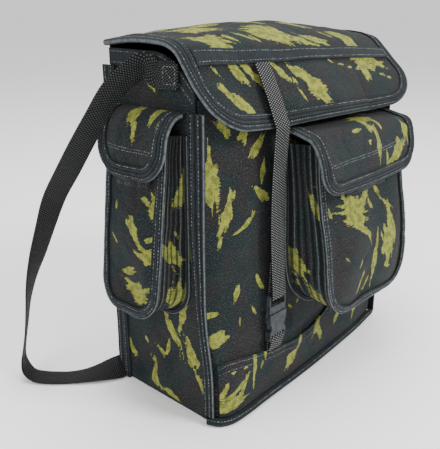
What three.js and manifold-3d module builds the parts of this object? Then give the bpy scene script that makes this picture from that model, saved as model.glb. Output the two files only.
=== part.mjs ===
// Haversack of camouflage canvas: a box-shaped bag with a front flap, one front pocket, a webbing
// strap with a side-release buckle, two side pockets and two webbing shoulder straps.
// Millimetres, +Z up. The front faces -Y, and the origin is on the underside of the bottom panel.

import * as THREE from 'three';
import * as BufferGeometryUtils from 'three/addons/utils/BufferGeometryUtils.js';
import Module from 'manifold-3d';

const wasm = await Module();
wasm.setup();

// Driving dimensions of the body
const bagWidth = 314;
const bagDepth = 117;
const wallHeight = 356;
const frontWallHeight = 318;
const sideFrontDrop = 34;
const clothThickness = 2;
const seamGap = 0.3;
const baseBulge = 26;
const midBulge = 22;
const mouthBulge = 6;
const sideBulge = 4;

// Driving dimensions of the main flap
const flapOverhang = 6;
const flapLean = 34;
const flapDrop = 66;
const domeRise = 16;
const flapCornerRadius = 46;
const flapFoldDepth = 8;
const coverGap = 0.5;
const bindingWidth = 12;
const bindingThickness = 1.2;
const crownBandWidth = 13;
const crownBandThickness = 1.6;

// Driving dimensions of the seam tapes
const seamTapeOnWall = 9;
const seamTapeFin = 9;
const seamTapeThickness = 3.4;
const pipingDiameter = 8;
const hemTapeHeight = 15;
const hemTapeThickness = 1.2;
const baseBandHeight = 66;
const baseBandThickness = 2.4;

// Driving dimensions of the webbing and the buckle
const webbingWidth = 25;
const webbingThickness = 1.8;
const closureStrapWidth = 21;
const closureStrapOffset = -74;
const closureStrapSag = 4;
const closureWallLift = 0.6;
const buckleWidth = 25.5;
const buckleThickness = 7;
const buckleTabLength = 14;
const buckleFrameLength = 20;
const buckleSocketLength = 30;
const buckleClearance = 0.35;
const strapReach = 79;
const strapSetback = 84;
const strapAnchorHeight = 337;
const strapAnchorForward = 30.5;
const anchorPatchSize = 21;

// Driving dimensions of the front pocket
const frontPocketOffset = 40.5;
const frontPocketWidth = 160;
const frontPocketMouthHeight = 266;
const frontPocketFootHeight = 81;
const frontPocketUpperDepth = 33;
const frontPocketLowerDepth = 42;
const frontPocketLeftRadius = 50;
const frontPocketRightRadius = 28;
const frontPocketSplayWidth = 10;
const frontPocketSagHeight = 11;
const frontPocketFlapWidth = 190;
const frontPocketFlapHeight = 14;
const frontPocketFlapLength = 48;
const frontPocketFlapRadius = 27;

// Driving dimensions of the side pockets
const sidePocketWidth = 80;
const sidePocketMouthHeight = 286;
const sidePocketFootHeight = 110;
const sidePocketUpperDepth = 13;
const sidePocketLowerDepth = 32;
const sidePocketRadius = 28;
const sidePocketSplayWidth = 4;
const sidePocketSetback = 4;
const sidePocketFlapWidth = 92;
const sidePocketFlapHeight = 19;
const sidePocketFlapLength = 41;
const sidePocketFlapRadius = 30;

// Driving dimensions shared by the pockets
const pocketFaceCrown = 4;
const pocketBindingWidth = 8;
const pocketBindingThickness = 2.2;
const pocketSeamWidth = 4;
const pocketSeamThickness = 2.4;
const pocketFlapTapeStart = 4;
const hookTapeHeight = 25;
const hookTapeThickness = 1.4;
const hookTapeShare = 0.5;

const halfWidth = bagWidth / 2;
const halfDepth = bagDepth / 2;
const halfCloth = clothThickness / 2;

const camoCanvas = { color: 0x4a5347, roughness: 0.9, metalness: 0 };
const bindingTape = { color: 0x2a3030, roughness: 0.85, metalness: 0 };
const webbing = { color: 0x1d2021, roughness: 0.8, metalness: 0 };
const bucklePlastic = { color: 0x25292b, roughness: 0.45, metalness: 0 };
const hookTape = { color: 0x26292a, roughness: 0.98, metalness: 0 };

const haversack = new THREE.Group();

// General helpers

function clamp(value, low, high) {
  return Math.min(high, Math.max(low, value));
}

function smoothStep(low, high, value) {
  const share = clamp((value - low) / (high - low), 0, 1);
  return share * share * (3 - 2 * share);
}

// A value read from a table of rows, smoothed between them by a cubic through the neighbours and
// carried on straight past the first and last rows.
function readTable(rows, key, value, at) {
  let row = 0;
  while (row < rows.length - 2 && at > rows[row + 1][key]) row += 1;
  const before = rows[Math.max(row - 1, 0)];
  const low = rows[row];
  const high = rows[row + 1];
  const after = rows[Math.min(row + 2, rows.length - 1)];
  const span = high[key] - low[key];
  const t = clamp((at - low[key]) / span, 0, 1);
  const slopeLow = before === low ? high[value] - low[value]
    : (high[value] - before[value]) / (high[key] - before[key]) * span;
  const slopeHigh = after === high ? high[value] - low[value]
    : (after[value] - low[value]) / (after[key] - low[key]) * span;
  const t2 = t * t;
  const t3 = t2 * t;
  const past = (at - low[key]) / span - t;
  return (2 * t3 - 3 * t2 + 1) * low[value] + (t3 - 2 * t2 + t) * slopeLow
    + (3 * t2 - 2 * t3) * high[value] + (t3 - t2) * slopeHigh
    + past * (past > 0 ? slopeHigh : slopeLow);
}

// A closed mesh from vertices and triangles, turned so that its faces point out.
function closedGeometry(vertices, triangles) {
  let volume = 0;
  const cross = new THREE.Vector3();
  for (const [a, b, c] of triangles) {
    volume += vertices[a].dot(cross.crossVectors(vertices[b], vertices[c]));
  }
  const ordered = volume < 0 ? triangles.map(([a, b, c]) => [a, c, b]) : triangles;
  const geometry = new THREE.BufferGeometry();
  const positions = new Float32Array(vertices.flatMap((vertex) => vertex.toArray()));
  geometry.setAttribute('position', new THREE.BufferAttribute(positions, 3));
  geometry.setIndex(ordered.flat());
  geometry.computeVertexNormals();
  return geometry;
}

// The unit normal of a surface, from points a small step away on both sides.
function surfaceNormal(surface, a, b, step) {
  const alongA = surface(a + step, b).sub(surface(a - step, b));
  const alongB = surface(a, b + step).sub(surface(a, b - step));
  return alongA.cross(alongB).normalize();
}

// Even shares from 0 to 1.
function evenStops(count) {
  return Array.from({ length: count + 1 }, (_, index) => index / count);
}

// A sheet of even thickness over a surface of two shares, at the given stops of each.
function sheetGeometry(surface, columnStops, rowStops, thickness) {
  const shareStep = 1e-4;
  const vertices = [];
  const triangles = [];
  const columns = columnStops.length - 1;
  const rows = rowStops.length - 1;
  const stride = columns + 1;
  for (const side of [0.5, -0.5]) {
    for (const v of rowStops) {
      for (const u of columnStops) {
        const normal = surfaceNormal(surface, u, v, shareStep);
        vertices.push(surface(u, v).addScaledVector(normal, side * thickness));
      }
    }
  }
  const layer = stride * (rows + 1);
  const quad = (a, b, c, d) => triangles.push([a, b, c], [a, c, d]);
  for (let row = 0; row < rows; row += 1) {
    for (let column = 0; column < columns; column += 1) {
      const corner = row * stride + column;
      quad(corner, corner + 1, corner + stride + 1, corner + stride);
      quad(layer + corner, layer + corner + stride, layer + corner + stride + 1, layer + corner + 1);
    }
  }
  const rim = [];
  for (let column = 0; column < columns; column += 1) rim.push(column);
  for (let row = 0; row < rows; row += 1) rim.push(row * stride + columns);
  for (let column = columns; column > 0; column -= 1) rim.push(rows * stride + column);
  for (let row = rows; row > 0; row -= 1) rim.push(row * stride);
  rim.forEach((here, index) => {
    const next = rim[(index + 1) % rim.length];
    quad(here, layer + here, layer + next, next);
  });
  return closedGeometry(vertices, triangles);
}

// A solid through rings of points that all follow one flat section, with its two ends closed.
function ringGeometry(rings, section) {
  const count = section.length;
  const vertices = rings.flat();
  const triangles = [];
  for (let ring = 0; ring < rings.length - 1; ring += 1) {
    for (let point = 0; point < count; point += 1) {
      const next = (point + 1) % count;
      const a = ring * count + point;
      const b = ring * count + next;
      triangles.push([a, b, b + count], [a, b + count, a + count]);
    }
  }
  const clockwise = THREE.ShapeUtils.isClockWise(section);
  const last = (rings.length - 1) * count;
  for (const [a, b, c] of THREE.ShapeUtils.triangulateShape(section, [])) {
    const first = clockwise ? [a, b, c] : [a, c, b];
    triangles.push(first, [last + first[0], last + first[2], last + first[1]]);
  }
  return closedGeometry(vertices, triangles);
}

function rectangle(low, high, bottom, top) {
  return [
    new THREE.Vector2(low, bottom),
    new THREE.Vector2(high, bottom),
    new THREE.Vector2(high, top),
    new THREE.Vector2(low, top),
  ];
}

// The section of a tape folded over a cloth edge: how far in from the edge, and off its middle.
function foldedTape(width, thickness) {
  const inner = halfCloth + coverGap;
  const outer = inner + thickness;
  const mouth = coverGap;
  const back = coverGap + thickness;
  return [
    new THREE.Vector2(width, inner),
    new THREE.Vector2(width, outer),
    new THREE.Vector2(-back, outer),
    new THREE.Vector2(-back, -outer),
    new THREE.Vector2(width, -outer),
    new THREE.Vector2(width, -inner),
    new THREE.Vector2(-mouth, -inner),
    new THREE.Vector2(-mouth, inner),
  ];
}

// A tape along the edge of a surface in millimetres. Each place on the path has the surface's own
// coordinates and the direction that leads in from the edge.
function edgeTapeGeometry(surface, path, section) {
  const step = 0.05;
  const rings = path.map((place) => section.map((point) => {
    const a = place.a + place.inA * point.x;
    const b = place.b + place.inB * point.x;
    const normal = surfaceNormal(surface, a, b, step);
    return surface(a, b).addScaledVector(normal, point.y);
  }));
  return ringGeometry(rings, section);
}

// A flat strap along points, each with the direction of its width.
function strapGeometry(points, widths, width, thickness) {
  const section = rectangle(-width / 2, width / 2, -thickness / 2, thickness / 2);
  const rings = points.map((point, index) => {
    const ahead = points[Math.min(index + 1, points.length - 1)];
    const behind = points[Math.max(index - 1, 0)];
    const along = new THREE.Vector3().subVectors(ahead, behind).normalize();
    const across = widths[index].clone().addScaledVector(along, -widths[index].dot(along)).normalize();
    const out = new THREE.Vector3().crossVectors(along, across);
    return section.map((corner) => point.clone()
      .addScaledVector(across, corner.x).addScaledVector(out, corner.y));
  });
  return ringGeometry(rings, section);
}

function mirrored(geometry) {
  const position = geometry.getAttribute('position');
  const vertices = [];
  for (let index = 0; index < position.count; index += 1) {
    vertices.push(new THREE.Vector3().fromBufferAttribute(position, index)
      .multiply(new THREE.Vector3(-1, 1, 1)));
  }
  const flat = Array.from(geometry.getIndex().array);
  const triangles = [];
  for (let index = 0; index < flat.length; index += 3) triangles.push(flat.slice(index, index + 3));
  return closedGeometry(vertices, triangles);
}

function addPiece(name, geometry, finish) {
  const mesh = new THREE.Mesh(geometry, new THREE.MeshStandardMaterial(finish));
  mesh.name = name;
  haversack.add(mesh);
  return mesh;
}

// A left piece and its mirror image on the right.
function addPair(name, geometry, finish) {
  addPiece(`left_${name}`, geometry, finish);
  addPiece(`right_${name}`, mirrored(geometry), finish);
}

// A left piece and its counterpart on the right. The function takes -1 for the left one and 1 for the
// right one, and makes both as if they were on the left.
function addEnds(name, geometryAt, finish) {
  addPiece(`left_${name}`, geometryAt(-1), finish);
  addPiece(`right_${name}`, mirrored(geometryAt(1)), finish);
}

// Body walls

// How far the front wall stands forward, across its width at the base and at half height. across is
// -1 at the left seam and 1 at the right one.
const baseBulgeRows = [
  { across: -1, forward: 0.4 },
  { across: -0.97, forward: 0.8 },
  { across: -0.88, forward: 1 },
  { across: -0.56, forward: 0.92 },
  { across: -0.07, forward: 0.78 },
  { across: 0.38, forward: 0.54 },
  { across: 0.73, forward: 0.3 },
  { across: 1, forward: 0.03 },
];
const heightBulgeRows = [
  { up: 0, forward: baseBulge },
  { up: 0.17, forward: baseBulge * 0.25 + midBulge * 0.8 },
  { up: 0.45, forward: midBulge },
  { up: 0.75, forward: midBulge * 0.62 },
  { up: 1, forward: mouthBulge },
];

function frontBulge(x, z) {
  const across = clamp(x / halfWidth, -1, 1);
  const up = z / frontWallHeight;
  const round = 1 - Math.abs(across) ** 2.4;
  const base = readTable(baseBulgeRows, 'across', 'forward', across);
  const share = smoothStep(0.12, 0.42, up);
  return readTable(heightBulgeRows, 'up', 'forward', up) * (base * (1 - share) + round * share);
}

function frontWall(x, z) {
  return new THREE.Vector3(x, -halfDepth - frontBulge(x, z), z);
}

const wallBottom = clothThickness + seamGap;

// The shares across the width where the front wall, its base band and the bottom have their edges,
// closer together at the left, where the base stands forward sharply.
const frontColumns = [
  0, 0.015, 0.03, 0.05, 0.075, 0.11, 0.16, 0.22, 0.29, 0.36, 0.43, 0.5, 0.57, 0.64, 0.71, 0.78,
  0.85, 0.91, 0.96, 1,
];

// The shares of the front wall's height where it has its rows, closer together behind the base band.
const frontRows = [0, 0.06, 0.12, 0.18, 0.25, 0.34, 0.46, 0.62, 0.8, 1];

function addFrontPanel() {
  const low = wallBottom;
  const surface = (u, v) => frontWall(-halfWidth + bagWidth * u, low + (frontWallHeight - low) * v);
  addPiece('front_panel',
    sheetGeometry(surface, frontColumns, frontRows, clothThickness), camoCanvas);
}

function sideTopHeight(y) {
  const ahead = clamp(-y / halfDepth, 0, 1);
  return wallHeight - sideFrontDrop * ahead ** 2.2;
}

// How far a front side seam stands ahead of its place, at the left end (-1) or the right end (1).
function seamForward(end, z) {
  return frontBulge(end * halfWidth, z);
}

// How far a side wall stands out from its seams.
function sideOut(y, z) {
  const across = clamp(y / halfDepth, -1, 1);
  const up = z / wallHeight;
  return sideBulge * (1 - across * across) * Math.sin(Math.PI * clamp(up, 0, 1));
}

function leftWall(y, z) {
  return new THREE.Vector3(-halfWidth - sideOut(y, z), y, z);
}

function addSidePanels() {
  const front = -halfDepth + clothThickness;
  const back = halfDepth - halfCloth - seamGap;
  const placed = (end, u, heightAt) => {
    const y = front + (back - front) * u;
    const z = heightAt(sideTopHeight(y));
    return leftWall(y - seamForward(end, z) * (1 - u), z);
  };
  const panel = (end) => {
    const surface = (u, v) => placed(end, u, (top) => wallBottom + (top - wallBottom) * v);
    return sheetGeometry(surface, evenStops(6), evenStops(8), clothThickness);
  };
  const hem = (end) => {
    const surface = (u, v) => {
      const point = placed(end, u, (top) => top - hemTapeHeight * (1 - v));
      point.x -= halfCloth + seamGap + hemTapeThickness / 2;
      return point;
    };
    return sheetGeometry(surface, evenStops(6), [0, 1], hemTapeThickness);
  };
  addEnds('side_panel', panel, camoCanvas);
  addEnds('side_hem_tape', hem, bindingTape);
}

function addBottomPanel() {
  const surface = (u, v) => {
    const x = -halfWidth + bagWidth * u;
    const front = -halfDepth - frontBulge(x, 0);
    return new THREE.Vector3(x, front + (halfDepth - front) * v, halfCloth);
  };
  addPiece('bottom_panel',
    sheetGeometry(surface, frontColumns, [0, 1], clothThickness), camoCanvas);
}

// Main flap

// The flap's section from its rear edge over the crown to its lower edge, at the left edge, the
// middle and the right edge. deep is a share of the depth, rise of the dome's rise, lean of the
// flap's lean and drop of its drop.
const flapRows = {
  left: [
    { deep: 0.5, rise: 0.3, lean: 0, drop: 0 },
    { deep: 0.19, rise: 0.54, lean: 0, drop: 0 },
    { deep: -0.1, rise: 0.54, lean: 0, drop: 0 },
    { deep: -0.24, rise: 0.4, lean: 0, drop: 0 },
    { deep: -0.335, rise: 0.03, lean: 0, drop: 0 },
    { deep: -0.43, rise: 0, lean: 0, drop: 0.2 },
    { deep: -0.5, rise: 0, lean: 0.07, drop: 0.42 },
    { deep: -0.5, rise: 0, lean: 0.36, drop: 0.69 },
    { deep: -0.5, rise: 0, lean: 0.64, drop: 0.95 },
  ],
  middle: [
    { deep: 0.5, rise: 1.03, lean: 0, drop: 0 },
    { deep: 0.19, rise: 1.18, lean: 0, drop: 0 },
    { deep: -0.145, rise: 0.94, lean: 0, drop: 0 },
    { deep: -0.36, rise: 0.34, lean: 0, drop: 0 },
    { deep: -0.45, rise: 0, lean: 0, drop: 0.055 },
    { deep: -0.5, rise: 0, lean: 0.04, drop: 0.25 },
    { deep: -0.5, rise: 0, lean: 0.46, drop: 0.52 },
    { deep: -0.5, rise: 0, lean: 0.79, drop: 0.77 },
    { deep: -0.5, rise: 0, lean: 1, drop: 1 },
  ],
  right: [
    { deep: 0.5, rise: 0.36, lean: 0, drop: 0 },
    { deep: 0.19, rise: 0.3, lean: 0, drop: 0 },
    { deep: -0.13, rise: 0.14, lean: 0, drop: 0 },
    { deep: -0.325, rise: 0, lean: 0, drop: 0.03 },
    { deep: -0.44, rise: 0, lean: 0, drop: 0.2 },
    { deep: -0.5, rise: 0, lean: 0.12, drop: 0.36 },
    { deep: -0.5, rise: 0, lean: 0.62, drop: 0.59 },
    { deep: -0.5, rise: 0, lean: 0.95, drop: 0.82 },
    { deep: -0.5, rise: 0, lean: 1.1, drop: 1 },
  ],
};
const crownRow = 4;
const flapHalfWidth = halfWidth + flapOverhang;

// The pull of the closure strap, back and down, and the step where the flap falls off the front
// pocket: across is a share of the half width.
const strapPull = { across: -0.46, reach: 0.24, back: 0.2, down: 0.05 };
const flapFold = { across: 0.4, edge: 0.03, reach: 0.34 };

function flapRowPoint(row) {
  return {
    y: bagDepth * row.deep - flapLean * row.lean,
    z: wallHeight + domeRise * row.rise - flapDrop * row.drop,
  };
}

// Knots along the section, each at its distance from the rear edge measured on the middle section.
const flapKnots = [];
{
  let travelled = 0;
  flapRows.middle.forEach((row, index) => {
    const here = flapRowPoint(row);
    if (index > 0) {
      const before = flapRowPoint(flapRows.middle[index - 1]);
      travelled += Math.hypot(here.y - before.y, here.z - before.z);
    }
    const left = flapRowPoint(flapRows.left[index]);
    const right = flapRowPoint(flapRows.right[index]);
    flapKnots.push({
      along: travelled,
      leftY: left.y, leftZ: left.z,
      middleY: here.y, middleZ: here.z,
      rightY: right.y, rightZ: right.z,
    });
  });
}
const flapLength = flapKnots[flapKnots.length - 1].along;
const crownAlong = flapKnots[crownRow].along;

// The flap's middle surface: x across, and the distance along it from the rear edge.
function flapSurface(x, along) {
  const across = x / flapHalfWidth;
  const at = (key) => {
    const left = readTable(flapKnots, 'along', `left${key}`, along);
    const middle = readTable(flapKnots, 'along', `middle${key}`, along);
    const right = readTable(flapKnots, 'along', `right${key}`, along);
    return middle + (right - left) / 2 * across + ((left + right) / 2 - middle) * across * across;
  };
  const down = smoothStep(crownAlong, flapLength, along);
  const pull = Math.exp(-(((across - strapPull.across) / strapPull.reach) ** 2));
  const past = (across - flapFold.across) / flapFold.edge;
  const fold = flapFoldDepth * smoothStep(-0.5, 0.5, past)
    * Math.exp(-Math.max(across - flapFold.across, 0) / flapFold.reach);
  const back = pull * strapPull.back * flapLean + fold;
  const sunk = pull * strapPull.down * flapDrop + fold * 0.4;
  return new THREE.Vector3(x, at('Y') + back * down, at('Z') - sunk * down);
}

// The edge of a flap with two round lower corners, from its upper left end to its upper right end.
function roundEdgePath(reach, length, leftRadius, rightRadius, straight, arcSteps, lowPlaces) {
  const path = [];
  for (const share of straight) {
    path.push({ a: -reach, b: (length - leftRadius) * share, inA: 1, inB: 0 });
  }
  for (let step = 0; step <= arcSteps; step += 1) {
    const turn = Math.PI / 2 * step / arcSteps;
    const inA = Math.cos(turn);
    const inB = -Math.sin(turn);
    path.push({
      a: -reach + leftRadius - leftRadius * inA, b: length - leftRadius - leftRadius * inB, inA, inB,
    });
  }
  for (const place of lowPlaces) path.push({ a: place, b: length, inA: 0, inB: -1 });
  for (let step = 0; step <= arcSteps; step += 1) {
    const turn = Math.PI / 2 * step / arcSteps;
    const inA = -Math.sin(turn);
    const inB = -Math.cos(turn);
    path.push({
      a: reach - rightRadius - rightRadius * inA, b: length - rightRadius - rightRadius * inB, inA, inB,
    });
  }
  for (const share of [...straight].reverse()) {
    path.push({ a: reach, b: (length - rightRadius) * share, inA: -1, inB: 0 });
  }
  return path;
}

// Shares from 0 up to, but not at, 1: the stops of an edge's straight part before its round corner.
function straightStops(count) {
  return evenStops(count).slice(0, count);
}

// The shares of a flap's length where its rows lie: along its straight part, then round its corner.
function flapRowStops(length, radius, straight, arcSteps) {
  const stops = straight.map((share) => share * (length - radius) / length);
  for (let step = 0; step <= arcSteps; step += 1) {
    stops.push((length - radius + radius * Math.sin(Math.PI / 2 * step / arcSteps)) / length);
  }
  return stops;
}

// The part of a flap between its round corners in which its columns run straight down.
const straightColumnShare = 0.96;

// A flap with a tape folded over its edge. Columns are shares of the straight part's half width.
function edgedFlap(flap) {
  const { surface, length, reach, radius, columns, straight, arcSteps } = flap;
  const straightHalf = (reach - radius) * straightColumnShare;
  const reachAt = (along) => {
    const into = Math.max(along - (length - radius), 0);
    return reach - radius + Math.sqrt(Math.max(radius ** 2 - into ** 2, 0));
  };
  const panel = (u, v) => {
    const along = length * v;
    const past = Math.max(Math.abs(u) - 1, 0);
    const inside = clamp(u, -1, 1) * straightHalf;
    return surface(inside + Math.sign(u) * past * (reachAt(along) - straightHalf), along);
  };
  const rows = flapRowStops(length, radius, straight, arcSteps);
  const taped = straight.filter((share) => share * length > flap.tapeStart);
  if (taped.length < straight.length) taped.unshift(flap.tapeStart / (length - radius));
  const lowPlaces = columns.map((share) => share * straightHalf);
  const path = roundEdgePath(reach, length, radius, radius, taped, arcSteps, lowPlaces);
  return {
    panel: sheetGeometry(panel, [-2, -1.5, ...columns, 1.5, 2], rows, clothThickness),
    binding: edgeTapeGeometry(surface, path, foldedTape(bindingWidth, bindingThickness)),
  };
}

// The main flap's rows are closer together where it bends over the crown, its columns at the pull of
// the closure strap and at the step of its fold.
const mainFlapStraight = [0, 0.17, 0.34, 0.5, 0.61, 0.69, 0.75, 0.8, 0.85, 0.9, 0.95];
const mainFlapColumns = [
  -1, -0.88, -0.77, -0.666, -0.565, -0.464, -0.33, -0.18, 0, 0.18, 0.34, 0.44, 0.505, 0.55, 0.62,
  0.72, 0.85, 1,
];
const cornerSteps = 4;
const mainFlapRows = flapRowStops(flapLength, flapCornerRadius, mainFlapStraight, cornerSteps);

function addMainFlap() {
  const flap = edgedFlap({
    surface: flapSurface,
    length: flapLength,
    reach: flapHalfWidth,
    radius: flapCornerRadius,
    columns: mainFlapColumns,
    straight: mainFlapStraight,
    arcSteps: cornerSteps,
    tapeStart: 0,
  });
  addPiece('main_flap', flap.panel, camoCanvas);
  addPiece('main_flap_binding', flap.binding, bindingTape);
}

// The height of an outward offset that clears the folded tape on a flap's edge.
const aboveFlap = halfCloth + coverGap;
const crownHalfLength = flapHalfWidth - bindingWidth - seamGap;

function offsetSurface(surface, a, b, distance) {
  const step = 0.05;
  return surface(a, b).addScaledVector(surfaceNormal(surface, a, b, step), distance);
}

function addCrownBand() {
  const lift = aboveFlap + crownBandThickness / 2;
  const surface = (u, v) => offsetSurface(
    flapSurface, (2 * u - 1) * crownHalfLength, crownAlong + crownBandWidth * v, -lift);
  addPiece('crown_band', sheetGeometry(surface, evenStops(18), [0, 0.5, 1], crownBandThickness),
    bindingTape);
}

// Base band and seams

// The upper edge of the base band, as a share of its height across the front.
const baseBandRows = [
  { across: -1, up: 0.94 },
  { across: -0.9, up: 0.97 },
  { across: -0.56, up: 0.81 },
  { across: -0.34, up: 0.76 },
  { across: -0.08, up: 0.77 },
  { across: 0.24, up: 0.93 },
  { across: 0.6, up: 1 },
  { across: 1, up: 1 },
];

function baseBandTop(x) {
  return baseBandHeight * readTable(baseBandRows, 'across', 'up', x / halfWidth);
}

function addBaseBand() {
  const low = pipingDiameter + 3 * seamGap;
  const standoff = halfCloth + coverGap + baseBandThickness / 2;
  const surface = (u, v) => {
    const x = (2 * u - 1) * halfWidth;
    return offsetSurface(frontWall, x, low + (baseBandTop(x) - low) * v, standoff);
  };
  const inner = frontColumns.slice(1, -1);
  addPiece('base_band', sheetGeometry(surface, inner, [0, 0.5, 1], baseBandThickness), camoCanvas);
}

// How much of the front seam tape's width lies on the wall near the floor.
const frontSeamLowShare = 0.35;

// A tape that lies on the side wall along its front (-1) or rear (1) seam and stands past it as a fin,
// for the left (-1) or the right (1) end of the bag.
function sideSeamGeometry(seam, end) {
  const steps = 12;
  const inner = halfCloth + seamGap;
  const top = sideTopHeight(seam * halfDepth) - hemTapeHeight - 2 * seamGap;
  const bottom = seam > 0 ? seamGap : pipingDiameter + 3 * seamGap;
  const sectionAt = (z) => {
    const narrowed = frontSeamLowShare
      + (1 - frontSeamLowShare) * smoothStep(0.3, 0.6, z / wallHeight);
    const onWall = seamTapeOnWall * (seam < 0 ? narrowed : 1);
    return rectangle(seam * (halfDepth - onWall), seam * (halfDepth + seamTapeFin),
      inner, inner + seamTapeThickness);
  };
  const rings = [];
  for (let step = 0; step <= steps; step += 1) {
    const z = bottom + (top - bottom) * step / steps;
    const ahead = seam < 0 ? seamForward(end, z) : 0;
    rings.push(sectionAt(z).map((corner) => new THREE.Vector3(
      -halfWidth - sideOut(corner.x, z) - corner.y, corner.x - ahead, z)));
  }
  return ringGeometry(rings, sectionAt(top));
}

// The rolled piping where the front wall meets the bottom.
function addFrontPiping() {
  const sides = 6;
  const radius = pipingDiameter / 2;
  const stand = radius + halfCloth + seamGap;
  const section = [];
  for (let side = 0; side < sides; side += 1) {
    const turn = 2 * Math.PI * (side + 0.5) / sides;
    section.push(new THREE.Vector2(radius * Math.cos(turn), radius * Math.sin(turn)));
  }
  const middle = (share) => {
    const x = (2 * share - 1) * (halfWidth - seamGap);
    const normal = surfaceNormal(frontWall, x, radius, 0.05);
    normal.z = 0;
    normal.normalize();
    return frontWall(x, radius).addScaledVector(normal, stand);
  };
  const step = 0.005;
  const rings = frontColumns.map((share) => {
    const here = middle(share);
    const along = middle(Math.min(share + step, 1)).sub(middle(Math.max(share - step, 0)));
    const out = new THREE.Vector3(along.y, -along.x, 0).normalize();
    return section.map((corner) => new THREE.Vector3(
      here.x + out.x * corner.x, here.y + out.y * corner.x, radius + seamGap + corner.y));
  });
  addPiece('front_piping', ringGeometry(rings, section), bindingTape);
}

function addSeams() {
  addEnds('front_seam_tape', (end) => sideSeamGeometry(-1, end), bindingTape);
  addEnds('rear_seam_tape', (end) => sideSeamGeometry(1, end), bindingTape);
  addFrontPiping();
}

// The shares across the width where the back panel has its edges: near both ends its upper edge
// steps down to pass under the flap's edge tape.
const backColumns = [0, 0.019, 0.025, 0.13, 0.25, 0.37, 0.5, 0.63, 0.75, 0.87, 0.975, 0.981, 1];

function addBackPanel() {
  const low = wallBottom;
  const tapeReach = flapHalfWidth - bindingWidth - coverGap;
  const surface = (u, v) => {
    const x = -halfWidth + bagWidth * u;
    const underTape = Math.abs(x) > tapeReach ? bindingThickness + coverGap : 0;
    const top = flapSurface(x, 0).z - halfCloth - coverGap - underTape;
    return new THREE.Vector3(x, halfDepth, low + (top - low) * v);
  };
  addPiece('back_panel', sheetGeometry(surface, backColumns, evenStops(2), clothThickness),
    camoCanvas);
}

// Closure strap and buckle

// The places across the closure strap where the cloth behind it is read.
const acrossStrap = [-1, 0, 1].map((side) => closureStrapOffset + side * closureStrapWidth / 2);

const strapStandoff = halfCloth + seamGap + webbingThickness / 2;
const buckleBar = 3;
const barClearance = 0.6;
const buckleStandoff = halfCloth + 2 * seamGap + webbingThickness + buckleBar / 2 + barClearance;
const loopRadius = buckleStandoff - strapStandoff;
const strapBandTop = Math.max(...acrossStrap.map(baseBandTop));
const socketBottom = strapBandTop + buckleTabLength;
const socketTop = socketBottom + buckleSocketLength;
const frameFoot = socketTop + buckleClearance;
const frameTop = frameFoot + buckleFrameLength;
const frameBarHeight = frameTop - buckleBar / 2;
const socketBarHeight = socketBottom + buckleBar / 2;

// The foremost place of the front wall behind the strap at a height.
function wallBehindStrap(z) {
  return Math.min(...acrossStrap.map((x) => frontWall(x, z).y));
}

// The plane that the buckle lies in, clear of the wall at both of its ends.
const bucklePlaneY = Math.min(wallBehindStrap(frameTop), wallBehindStrap(socketBottom))
  - buckleStandoff;

function inStrapPlane(y, z) {
  return new THREE.Vector3(closureStrapOffset, y, z);
}

// Half a turn round a bar: from is the turn's first angle, measured from the front (-Y) upwards.
function turnRoundBar(height, direction, steps) {
  const points = [];
  for (let step = 0; step <= steps; step += 1) {
    const turn = Math.PI * step / steps;
    points.push(inStrapPlane(
      bucklePlaneY - loopRadius * Math.cos(turn), height + direction * loopRadius * Math.sin(turn)));
  }
  return points;
}

function addClosureStrap() {
  const hangSteps = 14;
  const tailLength = 38;
  const start = crownAlong + crownBandWidth + coverGap;
  const end = flapLength + coverGap + bindingThickness;
  const lift = aboveFlap + bindingThickness + coverGap + webbingThickness / 2;
  const points = [];
  const inner = mainFlapRows.map((share) => share * flapLength)
    .filter((along) => along > start + webbingThickness && along < end - webbingThickness);
  for (const along of [start, ...inner, end]) {
    const seats = acrossStrap.map((x) => offsetSurface(flapSurface, x, along, -lift));
    points.push(inStrapPlane(Math.min(...seats.map((seat) => seat.y)), seats[1].z));
  }
  const last = points[points.length - 1];
  const loopTop = frameBarHeight + loopRadius;
  const frontY = bucklePlaneY - loopRadius;
  const hangingAt = (z) => {
    const share = (last.z - z) / (last.z - loopTop);
    const hung = last.y + (frontY - last.y) * share + closureStrapSag * Math.sin(Math.PI * share);
    return Math.min(hung, wallBehindStrap(z) - strapStandoff - closureWallLift);
  };
  for (let step = 1; step < hangSteps; step += 1) {
    const z = last.z + (loopTop - last.z) * step / hangSteps;
    points.push(inStrapPlane(hangingAt(z), z));
  }
  points.push(...turnRoundBar(frameBarHeight, -1, 6));
  const tailSteps = 3;
  for (let step = 1; step <= tailSteps; step += 1) {
    const share = step / tailSteps;
    const z = frameBarHeight + tailLength * share;
    const againstStrap = hangingAt(z) + webbingThickness + seamGap;
    points.push(inStrapPlane(
      (bucklePlaneY + loopRadius) * (1 - share) + againstStrap * share, z));
  }
  const widths = points.map(() => new THREE.Vector3(1, 0, 0));
  addPiece('closure_strap',
    strapGeometry(points, widths, closureStrapWidth, webbingThickness), webbing);
}

function addBuckleTab() {
  const bandTop = strapBandTop + 2 * seamGap;
  const wallY = wallBehindStrap(bandTop) - strapStandoff;
  const points = [
    inStrapPlane(wallY - webbingThickness - seamGap, bandTop),
    inStrapPlane(bucklePlaneY - loopRadius, socketBottom - seamGap),
    ...turnRoundBar(socketBarHeight, 1, 6),
    inStrapPlane(wallY, bandTop),
  ];
  const widths = points.map(() => new THREE.Vector3(1, 0, 0));
  addPiece('buckle_tab',
    strapGeometry(points, widths, closureStrapWidth, webbingThickness), webbing);
}

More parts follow.
